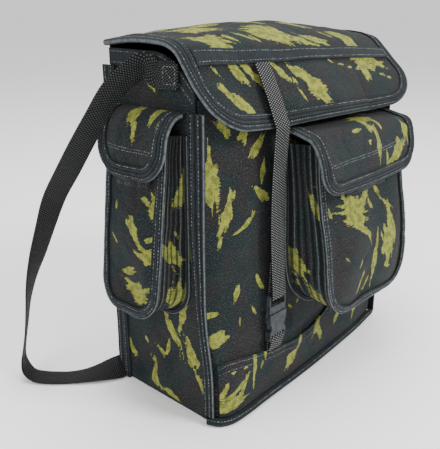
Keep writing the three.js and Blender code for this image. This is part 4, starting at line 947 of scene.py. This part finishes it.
def add_shoulder_straps():
    line, widths = shoulder_line()
    patch = offset(left_wall, -(STRAP_CLEARANCE + WEBBING_THICK + SEAM_GAP))
    half = ANCHOR_PATCH / 2
    a, b = grid(-ANCHOR_FORWARD - half, -ANCHOR_FORWARD + half, ANCHOR_HEIGHT - half,
                ANCHOR_HEIGHT + half, 1.5)
    corners = [(-1, -1), (1, -1), (1, 1), (-1, 1), (-1, -1), (1, 1)]
    share = np.linspace(0, 1, 9)
    rows = []
    for (y0, z0), (y1, z1) in zip(corners[:-1], corners[1:]):
        y = -ANCHOR_FORWARD + (half - 3) * (y0 + (y1 - y0) * share)
        z = ANCHOR_HEIGHT + (half - 3) * (z0 + (z1 - z0) * share)
        rows.append(stitch_row(patch, y, z, ANCHOR_PATCH_THICK / 2))
    for side, end in SIDES:
        mirror = end > 0
        strap = strap_mesh(side + "_shoulder_strap", line, widths, WEBBING_WIDTH, mirror)
        declare(strap, "webbing")
        sewn_down = sheet_mesh(side + "_strap_anchor_patch", patch, a, b, ANCHOR_PATCH_THICK, mirror)
        declare(sewn_down, "webbing")
        add_stitches(side + "_anchor_stitches", rows, mirror)


# Pockets: every pocket is a place function (across, height, off the wall), its sizes, and its flap's
# sections as shares out of the pocket's upper depth, up above its mouth and down below it.

FRONT_POCKET_X = 40.5


def front_place(across, height, off):
    across, height, off = np.broadcast_arrays(across, height, off)
    point = front_wall(FRONT_POCKET_X + across, height)
    middle = front_wall(FRONT_POCKET_X + 0 * across, height)
    level = middle[..., 1] - point[..., 1]
    point[..., 1] += level * 0.85 * smooth(0, 33, off) - off
    return point


def side_place(across, height, off):
    across, height, off = np.broadcast_arrays(across, height, off)
    point = left_wall(4 * smooth(0, 13, off) - across, height)
    point[..., 0] -= off
    return point


FRONT_FLAP = {
    "left": ((0.05, 1, 0), (0.45, 1, 0), (0.85, 0.75, 0), (1.18, 0.46, 0), (1.46, 0, 0.2),
             (1.56, 0, 0.56), (1.58, 0, 0.92)),
    "middle": ((0.05, 1, 0), (0.45, 1, 0), (0.85, 0.86, 0), (1.14, 0.54, 0), (1.36, 0, 0.19),
               (1.46, 0, 0.58), (1.48, 0, 1)),
    "right": ((0.05, 0.86, 0), (0.45, 0.71, 0), (0.8, 0.5, 0), (1.08, 0.36, 0), (1.25, 0, 0.06),
              (1.36, 0, 0.5), (1.37, 0, 0.94)),
}
SIDE_FLAP_ROWS = ((0.12, 1, 0), (0.65, 0.9, 0), (1.2, 0.58, 0), (1.62, 0.1, 0), (1.82, 0, 0.24),
                  (1.98, 0, 0.62), (2.04, 0, 1))
SIDE_FLAP = {"left": SIDE_FLAP_ROWS, "middle": SIDE_FLAP_ROWS, "right": SIDE_FLAP_ROWS}
FACE_CROWN = 4
GUSSET_CLEAR = 1.3
HOOK_TAPE_HEIGHT = 25

FRONT_POCKET = {
    "place": front_place, "half": 80, "top": 266, "foot": 81, "upper": 33, "lower": 42, "left": 50,
    "right": 28, "splay": 10, "sag": 11, "flap_half": 95, "rise": 14, "drop": 48, "radius": 27,
    "sections": FRONT_FLAP, "seed": 60, "counts": (50, 22, 36),
}
SIDE_POCKET = {
    "place": side_place, "half": 40, "top": 286, "foot": 110, "upper": 13, "lower": 32, "left": 28,
    "right": 28, "splay": 4, "sag": 0, "flap_half": 46, "rise": 19, "drop": 41, "radius": 30,
    "sections": SIDE_FLAP, "seed": 80, "counts": (44, 22, 14),
}
for sizes in (FRONT_POCKET, SIDE_POCKET):
    sizes["length"] = sizes["top"] - sizes["foot"]


def edge_distance(pocket, across, down):
    """How far inside a pocket face's rounded outline a place is."""
    nearest = np.inf
    for side, corner in ((-1, pocket["left"]), (1, pocket["right"])):
        past = side * across - (pocket["half"] - corner)
        below = down - (pocket["length"] - corner)
        rounded = np.hypot(np.maximum(past, 0), np.maximum(below, 0))
        distance = corner - rounded - np.minimum(np.maximum(past, below), 0)
        nearest = np.minimum(nearest, distance)
    return nearest


def pocket_face(pocket):
    def surface(across, down):
        share = down / pocket["length"]
        level = 1 - (across / pocket["half"]) ** 2
        crown = FACE_CROWN * level * np.sin(math.pi * np.clip(share, 0, 1))
        depth = pocket["upper"] + (pocket["lower"] - pocket["upper"]) * share
        relief = smooth(1, 17, edge_distance(pocket, across, down)) * smooth(0, 12, down)
        dents = 1.8 * ripple(across, down, 70, pocket["seed"])
        dents = dents + 0.35 * crumple(across, down, 70, pocket["seed"] + 2)
        return pocket["place"](across, pocket["top"] - down, depth + crown + relief * dents)
    return surface


def pocket_wall(pocket):
    return lambda across, down: pocket["place"](across, pocket["top"] - down, 0)


def pocket_path(pocket, wider=0, longer=0):
    return edge_path(pocket["half"] + wider, pocket["length"] + longer, pocket["left"], pocket["right"],
                     0, pocket["counts"])


def gusset_mesh(name, pocket, mirror):
    """The strip from the wall to the face, with ridges along both of its edges."""
    at_face = pocket_path(pocket)
    at_wall = pocket_path(pocket, pocket["splay"], -pocket["sag"])
    share = np.linspace(0, 1, 17)
    share = np.concatenate([share, share[::-1]])
    layer = np.repeat([0.0, 1.0], 17) * CLOTH
    ridge = 0.4 * np.cos(share * math.tau * 5) * (1 - np.sin(math.pi * share) * 0.4)
    run = path_length(pocket_face(pocket), at_face)
    sag = 1.3 * np.sin(math.pi * share)[None, :] * (0.6 + 0.6 * ripple(run, 0 * run, 45, 71)[:, None])
    into = layer[None, :] + 0.35 + ridge[None, :] + np.maximum(sag, 0)
    share_down = np.clip(at_face[:, 1] / pocket["length"], 0, 1)
    depth = pocket["upper"] + (pocket["lower"] - pocket["upper"]) * share_down
    across = (at_wall[:, 0, None] + (at_face[:, 0] - at_wall[:, 0])[:, None] * share
              + at_face[:, 2, None] * into)
    down = (at_wall[:, 1, None] + (at_face[:, 1] - at_wall[:, 1])[:, None] * share
            + at_face[:, 3, None] * into)
    off = GUSSET_CLEAR + (depth[:, None] - 2 * GUSSET_CLEAR) * share
    rings = pocket["place"](across, pocket["top"] - down, off)
    strip = float(depth.mean())
    strokes = scattered(0, strip, 20, float(run[-1]) - 20, 7, pocket["seed"] + 9, 80)
    # lines for the material: painted shade in the gusset's grooves and painted highlight on its ridges
    lines = 1.2 * ridge / 0.35
    piece = ring_mesh(name, rings, run, mirror, around=share * strip, lines=lines, strokes=strokes)
    piece["cut"] = (float(depth.max()), float(run[-1]), float(run[-1] * depth.mean()))
    return piece


def pocket_flap(pocket):
    def column(rows):
        out, rise, drop = np.array(rows).T
        return pocket["upper"] * out, pocket["top"] + pocket["rise"] * rise - pocket["drop"] * drop
    offs = {side: column(rows)[0] for side, rows in pocket["sections"].items()}
    heights = {side: column(rows)[1] for side, rows in pocket["sections"].items()}
    steps = np.hypot(np.diff(offs["middle"]), np.diff(heights["middle"]))
    keys = np.concatenate([[0], np.cumsum(steps)])
    half = pocket["flap_half"]

    def surface(place, along):
        across = place / half
        off = bend_across(offs, keys, across, along)
        height = bend_across(heights, keys, across, along)
        inside = smooth(0, 12, along) * smooth(0, 12, half - np.abs(place))
        lift = 1.1 * ripple(place, along, 60, pocket["seed"] + 5)
        lift = lift + 0.3 * crumple(place, along, 60, pocket["seed"] + 6)
        return pocket["place"](place, height, off + inside * (lift + 0.5))
    return surface, keys[-1]


def add_pocket(pocket, prefix, mirror=False):
    face = pocket_face(pocket)
    a, b = rounded_grid(pocket["half"], pocket["length"], pocket["left"], pocket["right"], 25)
    panel = sheet_mesh(prefix + "_face", face, a, b, mirror=mirror, strokes=strokes_for(prefix))
    declare(panel, "camo_canvas")
    declare(gusset_mesh(prefix + "_gusset", pocket, mirror), "camo_canvas")
    path = pocket_path(pocket)
    section = flat_section(-1.2, 8, LAYER_OFF, 3.7, 2)
    declare(edge_tape(prefix + "_binding", face, path, section, mirror), "binding_tape")
    add_stitches(prefix + "_binding_stitches", tape_stitch_rows(face, path, (1.4, 5.6), 3.6), mirror)
    wall_path = pocket_path(pocket, pocket["splay"], -pocket["sag"])
    clear = SEAM_GAP + pocket["sag"] * 3.9 / pocket["upper"]
    section = flat_section(-clear - 4, -clear, LAYER_OFF, 3.6, 1)
    seam = edge_tape(prefix + "_seam", pocket_wall(pocket), wall_path, section, mirror)
    declare(seam, "binding_tape")
    add_hook_tape(pocket, face, prefix + "_hook_tape", mirror)
    surface, length = pocket_flap(pocket)
    flap = prefix + "_flap"
    add_edged_flap(flap, surface, pocket["flap_half"], length, pocket["radius"], 4, mirror)
    reach = pocket["flap_half"] - BINDING_WIDTH - 2
    across = steps_between(-reach, reach, ROW_STEP)
    low = length - pocket["drop"] * 0.66
    rows = [stitch_row(surface, across, down + 0 * across, CLOTH / 2) for down in (low, low + 2.6)]
    add_stitches(flap + "_stitches", rows, mirror)


def add_hook_tape(pocket, face, name, mirror):
    high = pocket["drop"] - 15
    low = high + HOOK_TAPE_HEIGHT
    reach = pocket["half"] * 0.5
    a, b = grid(-reach, reach, high, low, 1.1)
    base = offset(face, -2.2)

    def pile(across, down):
        edge = smooth(0, 2, reach - np.abs(across)) * smooth(0, 2, down - high) * smooth(0, 2, low - down)
        tuft = 0.4 * np.abs(ripple(across, down, 2.2, 90)) * edge
        return base(across, down) - normal_of(face, across, down) * tuft[..., None]
    declare(sheet_mesh(name, pile, a, b, 1.3, mirror), "hook_tape")


def add_pockets():
    add_pocket(FRONT_POCKET, "front_pocket")
    add_pocket(SIDE_POCKET, "left_pocket")
    add_pocket(SIDE_POCKET, "right_pocket", mirror=True)


# Strokes of yellow-green paint

STROKES = {
    "main_flap": (
        (-104, 138, 38, 11, 55, 0.1), (-88, 138, 40, 9, 55, 0.1), (-128, 158, 34, 8, 50),
        (-110, 171, 36, 12, 35, 0.1), (-133, 134, 20, 3, 50), (-50, 139, 34, 9, 55),
        (-15, 157, 54, 19, 58), (-30, 141, 20, 8, 50), (-34, 166, 14, 3, 70),
        (-36, 151, 9, 3, 60), (100, 134, 52, 22, -4, 0.1), (122, 136, 32, 9, 25),
        (90, 148, 20, 14, 80), (119, 152, 10, 4, 15), (130, 157, 10, 4, 15),
        (33, 132, 10, 3, 40), (48, 137, 10, 3, 10), (62, 141, 8, 3, 0),
        (-118, 100, 44, 30, 20), (-90, 98, 24, 5, 60), (-72, 96, 26, 5, 50),
        (-60, 101, 20, 4, 60), (-30, 92, 60, 34, 35, 0.1), (4, 106, 40, 12, 15),
        (28, 102, 38, 14, 30), (88, 104, 40, 26, 60, 0.1), (60, 96, 18, 5, 70),
        (-100, 58, 52, 22, 40, 0.1), (-20, 48, 46, 20, 60), (50, 62, 44, 18, 35),
        (118, 60, 40, 20, 50), (-60, 20, 44, 18, 30), (30, 16, 40, 14, 45),
        (96, 22, 46, 18, 25), (-126, 22, 30, 12, 60),
    ),
    "front": (
        (-147, 245, 60, 20, -82), (-131, 291, 28, 10, -45), (-105, 283, 22, 12, 60),
        (-89, 269, 30, 9, 45), (-129, 210, 42, 11, 72, 0.1), (-108, 196, 28, 5, 30, 0.2),
        (-97, 205, 10, 4, 80), (-86, 222, 26, 9, -40, 0.2), (-83, 244, 22, 7, 80),
        (-120, 128, 20, 7, 80), (-89, 131, 20, 6, -60, 0.2), (-148, 113, 22, 6, 0),
        (-146, 88, 26, 15, 10), (-117, 97, 10, 3, 80), (-98, 104, 16, 4, -60),
        (-138, 184, 12, 4, 70), (-36, 262, 24, 12, -30), (-17, 169, 50, 20, 50),
        (-10, 205, 14, 4, 20), (-2, 140, 14, 5, 10, 0.3), (-30, 116, 34, 8, -18),
        (-12, 111, 22, 8, -10), (-46, 92, 9, 3, -50), (-36, 95, 9, 3, 60),
        (20, 230, 40, 14, 60), (90, 150, 40, 16, 40), (40, 108, 30, 12, 20),
        (128, 200, 46, 18, 70), (132, 130, 34, 12, 50), (112, 262, 30, 12, 40),
    ),
    "band": (
        (-142, 20, 44, 13, 5), (-137, 32, 34, 6, 22), (-126, 30, 30, 6, 52),
        (-149, 36, 22, 5, 65), (-138, 52, 9, 3, 0), (-120, 50, 8, 3, 0),
        (-106, 42, 40, 6, 75), (-86, 52, 16, 4, 75), (-93, 42, 10, 3, 70),
        (-44, 28, 24, 14, 50), (-30, 43, 22, 5, 60), (8, 50, 30, 9, 60),
        (15, 37, 28, 9, -60), (60, 40, 30, 10, 45), (100, 34, 28, 10, 60),
        (135, 40, 24, 9, 40),
    ),
    "left": (
        (-17, 84, 54, 10, 72, 0.1), (-38, 116, 56, 9, -74, 0.1), (-41, 66, 40, 14, 70),
        (-50, 38, 36, 5, 62), (10, 22, 34, 12, 70), (-9, 9, 24, 8, 20),
        (4, 52, 18, 5, 60), (-6, 62, 32, 4, -70), (22, 60, 12, 4, 60),
        (0, 330, 22, 10, 60), (-49, 180, 30, 8, 80), (48, 250, 34, 10, 70),
        (50, 130, 30, 10, 60), (48, 40, 28, 10, 50), (-50, 262, 30, 8, 70),
    ),
    "left_pocket": (
        (33, 66, 28, 20, 60), (18, 62, 18, 6, 30), (6, 88, 32, 11, 50),
        (30, 95, 18, 5, -20), (29, 112, 30, 13, 15), (20, 104, 16, 4, 40),
        (-2, 134, 24, 8, -20), (10, 152, 36, 20, 15), (31, 144, 18, 6, -10),
        (-22, 72, 9, 4, 80), (-20, 104, 10, 3, 40),
    ),
    "left_pocket_flap": (
        (-4, 12, 26, 13, 70), (5, 27, 26, 6, 80), (20, 8, 22, 10, 80),
        (33, 20, 13, 3, 80), (41, 14, 9, 3, 80),
    ),
    "front_pocket": (
        (-28, 75, 46, 30, 15), (-8, 66, 36, 13, -40), (-36, 60, 28, 15, 60),
        (-14, 98, 40, 7, 35), (-4, 105, 24, 5, 60), (5, 74, 15, 5, 60),
        (22, 62, 18, 6, 45), (38, 80, 38, 3, 35), (43, 104, 46, 13, 85),
        (35, 128, 40, 22, 80), (49, 113, 32, 7, 80), (12, 137, 52, 8, -85, 0.1),
        (-14, 156, 30, 5, -65), (-1, 165, 20, 4, -60), (-20, 134, 11, 4, -60),
        (36, 151, 12, 5, 30), (-66, 70, 14, 5, 70), (-46, 122, 8, 3, 40),
    ),
    "front_pocket_flap": (
        (10, 22, 38, 14, 10), (4, 33, 26, 10, 80), (23, 30, 24, 6, 75),
        (-20, 38, 22, 4, 0), (-2, 52, 9, 4, 80), (14, 57, 38, 8, 88),
        (50, 75, 40, 14, -25), (58, 67, 20, 10, 60), (76, 53, 28, 15, 75),
        (30, 74, 18, 4, 80), (28, 8, 26, 6, 10),
    ),
}


def strokes_for(place):
    """A panel's own strokes, or ones strewn over it where the photograph doesn't show it."""
    areas = {
        "back": (-157, 157, 0, 350, 30, 2), "right": (-60, 60, 0, 340, 12, 4),
        "right_pocket": (-40, 40, 0, 176, 7, 9), "right_pocket_flap": (-46, 46, 0, 66, 4, 12),
    }
    if place in STROKES:
        return STROKES[place]
    return scattered(*areas[place])


# Materials

def tone(red, green, blue):
    """A colour seen on a screen, 0 to 255, as Blender's linear colour."""
    return tuple(((part / 255 + 0.055) / 1.055) ** 2.4 for part in (red, green, blue)) + (1.0,)


class Wires:
    """A material's nodes, joined as they are made."""

    def __init__(self, name):
        self.material = bpy.data.materials.new(name)
        self.material.use_nodes = True
        self.tree = self.material.node_tree
        self.tree.nodes.clear()
        self.shader = self.tree.nodes.new("ShaderNodeBsdfPrincipled")
        output = self.tree.nodes.new("ShaderNodeOutputMaterial")
        self.tree.links.new(self.shader.outputs[0], output.inputs[0])

    def put(self, socket, value):
        if isinstance(value, bpy.types.NodeSocket):
            self.tree.links.new(value, socket)
        else:
            socket.default_value = value

    def node(self, kind, inputs, **settings):
        made = self.tree.nodes.new(kind)
        for key, value in settings.items():
            setattr(made, key, value)
        for key, value in inputs.items():
            self.put(made.inputs[key], value)
        return made

    def place(self):
        return self.node("ShaderNodeUVMap", {}, uv_map="cloth").outputs[0]

    def spot(self):
        return self.node("ShaderNodeTexCoord", {}).outputs["Object"]

    def attribute(self, name):
        return self.node("ShaderNodeAttribute", {}, attribute_name=name).outputs["Fac"]

    def stretch(self, vector, scales, turn=0.0):
        mapped = self.node("ShaderNodeMapping", {0: vector, 2: (0, 0, turn), 3: scales})
        return mapped.outputs[0]

    def noise(self, vector, scale, detail=2.0, rough=0.5):
        inputs = {"Vector": vector, "Scale": scale, "Detail": detail, "Roughness": rough}
        return self.node("ShaderNodeTexNoise", inputs).outputs[0]

    def math(self, operation, first, second=0.0):
        return self.node("ShaderNodeMath", {0: first, 1: second}, operation=operation).outputs[0]

    def steps(self, value, low, high, start=0.0, end=1.0):
        inputs = {"Value": value, "From Min": low, "From Max": high, "To Min": start, "To Max": end}
        made = self.node("ShaderNodeMapRange", inputs, interpolation_type="SMOOTHSTEP")
        return made.outputs[0]

    def mix(self, factor, first, second):
        made = self.node("ShaderNodeMix", {0: factor, 6: first, 7: second}, data_type="RGBA")
        return made.outputs[2]

    def threads(self, vector, pitch_across, pitch_along):
        """A plain weave's height, from -1 to 1."""
        parts = self.node("ShaderNodeSeparateXYZ", {0: vector})
        across = self.math("SINE", self.math("MULTIPLY", parts.outputs[0], math.tau / pitch_across))
        along = self.math("SINE", self.math("MULTIPLY", parts.outputs[1], math.tau / pitch_along))
        return self.math("MULTIPLY", across, along)

    def ribbed(self, colour):
        """Painted shade in a tape's grooves and painted highlight on its ridges and along its edges, the
        highlight stronger in some patches than in others.
        """
        line = self.attribute("lines")
        patches = self.noise(self.place(), 230.0, 2.0, 0.6)
        # painted shade: the grooves, where lines is below 0, are darkened towards near black
        shaded_grooves = self.mix(self.steps(line, 0.0, -0.5, 0.0, 0.75), colour, tone(5, 6, 6))
        # painted highlight: the ridges and edges, where lines is over 0.3, are lightened in patches
        light = self.math("MULTIPLY", self.steps(line, 0.3, 1.15), self.steps(patches, 0.3, 0.6, 0.35, 0.9))
        return self.mix(light, shaded_grooves, tone(96, 102, 104))

    def finish(self, colour, roughness, height, strength, distance, sheen):
        self.put(self.shader.inputs["Base Color"], colour)
        self.put(self.shader.inputs["Roughness"], roughness)
        self.put(self.shader.inputs["Sheen Weight"], sheen)
        self.put(self.shader.inputs["Sheen Roughness"], 0.45)
        self.put(self.shader.inputs["Specular IOR Level"], 0.14)
        raised = self.node("ShaderNodeBump",
                           {"Height": height, "Strength": strength, "Distance": distance})
        self.put(self.shader.inputs["Normal"], raised.outputs[0])
        return self.material


SLATE = tone(20, 30, 32)
BROWN = tone(32, 28, 30)
MOSS = tone(29, 37, 34)
PAINT = tone(140, 144, 60)
PAINT_WORN = tone(108, 112, 44)


def camo_canvas():
    wires = Wires("camo_canvas_woven")
    cloth = wires.place()
    broad = wires.noise(cloth, 24.0, 2.5, 0.55)
    base = wires.mix(wires.steps(broad, 0.44, 0.56), SLATE, BROWN)
    washed = wires.noise(wires.stretch(cloth, (1.0, 1.7, 1.0), 0.6), 33.0, 3.0, 0.6)
    base = wires.mix(wires.steps(washed, 0.5, 0.66, 0.0, 0.65), base, MOSS)
    ragged = wires.noise(wires.stretch(cloth, (1.0, 4.0, 1.0), -0.6), 150.0, 3.0, 0.6)
    loose = wires.noise(cloth, 75.0, 2.0, 0.5)
    edge = wires.math("ADD", ragged, wires.math("MULTIPLY", loose, 0.3))
    field = wires.math("ADD", wires.attribute("paint"), wires.math("SUBTRACT", edge, 0.68))
    painted = wires.steps(field, 0.0, 0.07)
    yellow = wires.mix(wires.steps(wires.noise(cloth, 160.0, 2.0), 0.42, 0.62), PAINT, PAINT_WORN)
    colour = wires.mix(painted, base, yellow)
    grain = wires.noise(cloth, 680.0, 2.0, 0.75)
    colour = wires.mix(wires.steps(grain, 0.54, 0.72, 0.0, 0.5), colour, tone(100, 112, 112))
    colour = wires.mix(wires.steps(grain, 0.48, 0.34, 0.0, 0.6), colour, tone(6, 7, 7))
    # painted shade and painted highlight along ribs, where a piece has a lines field (the gussets)
    colour = wires.ribbed(colour)
    weave = wires.threads(cloth, 0.0016, 0.0016)
    height = wires.math("ADD", wires.math("MULTIPLY", weave, 0.35), grain)
    rough = wires.steps(grain, 0.3, 0.7, 0.72, 0.95)
    return wires.finish(colour, rough, height, 0.8, 0.0009, 0.04)


def binding_tape():
    wires = Wires("binding_tape_woven")
    cloth = wires.place()
    ribs = wires.threads(cloth, 0.0022, 0.0013)
    patches = wires.noise(cloth, 90.0, 3.0, 0.6)
    colour = wires.mix(wires.steps(patches, 0.4, 0.68), tone(20, 25, 28), tone(33, 39, 42))
    grain = wires.noise(cloth, 900.0, 2.0, 0.6)
    colour = wires.mix(wires.steps(grain, 0.55, 0.7, 0.0, 0.35), colour, tone(72, 78, 80))
    # painted shade in the tapes' grooves and painted highlight on their ridges and edges
    colour = wires.ribbed(colour)
    height = wires.math("ADD", wires.math("MULTIPLY", ribs, 0.4), grain)
    rough = wires.steps(patches, 0.35, 0.65, 0.7, 0.9)
    return wires.finish(colour, rough, height, 0.6, 0.0008, 0.05)


def webbing():
    wires = Wires("webbing_woven")
    cloth = wires.place()
    weave = wires.threads(cloth, 0.0042, 0.0026)
    patches = wires.noise(cloth, 120.0, 3.0, 0.6)
    colour = wires.mix(wires.steps(patches, 0.35, 0.7), tone(8, 9, 10), tone(22, 24, 25))
    dots = wires.steps(weave, 0.35, 0.75)
    strength = wires.steps(wires.attribute("lines"), 0.0, 1.0, 0.2, 0.72)
    colour = wires.mix(wires.math("MULTIPLY", dots, strength), colour, tone(150, 152, 150))
    rough = wires.steps(patches, 0.3, 0.7, 0.6, 0.82)
    return wires.finish(colour, rough, weave, 0.7, 0.0006, 0.04)


def hook_tape():
    wires = Wires("hook_tape_pile")
    spot = wires.spot()
    pile = wires.noise(spot, 950.0, 3.0, 0.75)
    colour = wires.mix(wires.steps(pile, 0.5, 0.72), tone(8, 8, 9), tone(66, 69, 71))
    rough = wires.steps(pile, 0.3, 0.7, 0.85, 1.0)
    return wires.finish(colour, rough, pile, 1.0, 0.0012, 0.25)


def buckle_plastic():
    wires = Wires("buckle_plastic_moulded")
    spot = wires.spot()
    fine = wires.noise(spot, 1400.0, 2.0, 0.5)
    patches = wires.noise(spot, 160.0, 2.0, 0.5)
    colour = wires.mix(wires.steps(patches, 0.4, 0.65), tone(40, 43, 46), tone(58, 61, 64))
    rough = wires.steps(patches, 0.35, 0.65, 0.34, 0.5)
    return wires.finish(colour, rough, fine, 0.15, 0.0002, 0.0)


def sewing_thread():
    wires = Wires("sewing_thread")
    spot = wires.spot()
    patches = wires.noise(spot, 260.0, 2.0, 0.5)
    colour = wires.mix(wires.steps(patches, 0.4, 0.62), tone(54, 60, 63), tone(118, 123, 126))
    rough = wires.steps(patches, 0.35, 0.65, 0.6, 0.8)
    return wires.finish(colour, rough, patches, 0.2, 0.0003, 0.1)


def floor_paint():
    wires = Wires("studio_floor")
    spot = wires.spot()
    soft = wires.noise(spot, 3.0, 2.0, 0.5)
    colour = wires.mix(wires.steps(soft, 0.3, 0.7), tone(254, 254, 254), tone(255, 255, 255))
    return wires.finish(colour, 0.9, soft, 0.02, 0.001, 0.0)


MATERIALS = {
    "camo_canvas": camo_canvas(), "binding_tape": binding_tape(), "webbing": webbing(),
    "hook_tape": hook_tape(), "buckle_plastic": buckle_plastic(), "thread": sewing_thread(),
}


def declare(piece, finish):
    """Dress a piece, hang it under the root body and replace the CAD node of its name."""
    piece.data.materials.clear()
    piece.data.materials.append(MATERIALS[finish])
    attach(piece, "root")
    node = piece.name.removeprefix("sewn_").removesuffix("_moulded")
    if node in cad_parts:
        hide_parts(node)


# Studio

def add_floor():
    mesh = bpy.data.meshes.new("studio_floor")
    work = bmesh.new()
    bmesh.ops.create_grid(work, x_segments=2, y_segments=2, size=6)
    work.to_mesh(mesh)
    work.free()
    floor = bpy.data.objects.new("studio_floor", mesh)
    bpy.context.scene.collection.objects.link(floor)
    mesh.materials.append(floor_paint())


def add_light(name, place, power, size):
    light = bpy.data.lights.new(name, "AREA")
    light.energy = power
    light.size = size
    lamp = bpy.data.objects.new(name, light)
    lamp.location = place
    lamp.rotation_euler = (Vector((0, 0, 0.2)) - Vector(place)).to_track_quat("-Z", "Y").to_euler()
    bpy.context.scene.collection.objects.link(lamp)


def add_studio():
    add_floor()
    world = bpy.data.worlds.new("studio")
    world.use_nodes = True
    world.node_tree.nodes["Background"].inputs[0].default_value = (1, 1, 1, 1)
    world.node_tree.nodes["Background"].inputs[1].default_value = 1.0
    bpy.context.scene.world = world
    add_light("key", (0.5, -1.6, 1.5), 44, 0.6)
    add_light("left_fill", (-1.8, -0.1, 1.0), 14, 1.0)
    add_light("top", (0.1, 0.2, 2.0), 30, 1.0)


PHOTO_WIDTH = 440
FOCAL_PIXELS = 648.9
CAMERA_PLACE = (-0.5507, -0.4516, 0.4007)
CAMERA_TILT_DOWN = 19.28
CAMERA_TURN = -46.97


def add_camera():
    camera = bpy.data.cameras.new("photo_view")
    camera.sensor_fit = "HORIZONTAL"
    camera.sensor_width = 36
    camera.lens = FOCAL_PIXELS / PHOTO_WIDTH * 36
    camera.clip_start = 0.01
    view = bpy.data.objects.new("photo_view", camera)
    view.location = CAMERA_PLACE
    view.rotation_euler = (math.radians(90 - CAMERA_TILT_DOWN), 0, math.radians(CAMERA_TURN))
    bpy.context.scene.collection.objects.link(view)
    bpy.context.scene.camera = view


add_studio()
add_camera()
add_walls()
add_sides()
add_seam_tapes()
add_piping()
add_base_band()
add_main_flap()
add_closure()
add_shoulder_straps()
add_pockets()
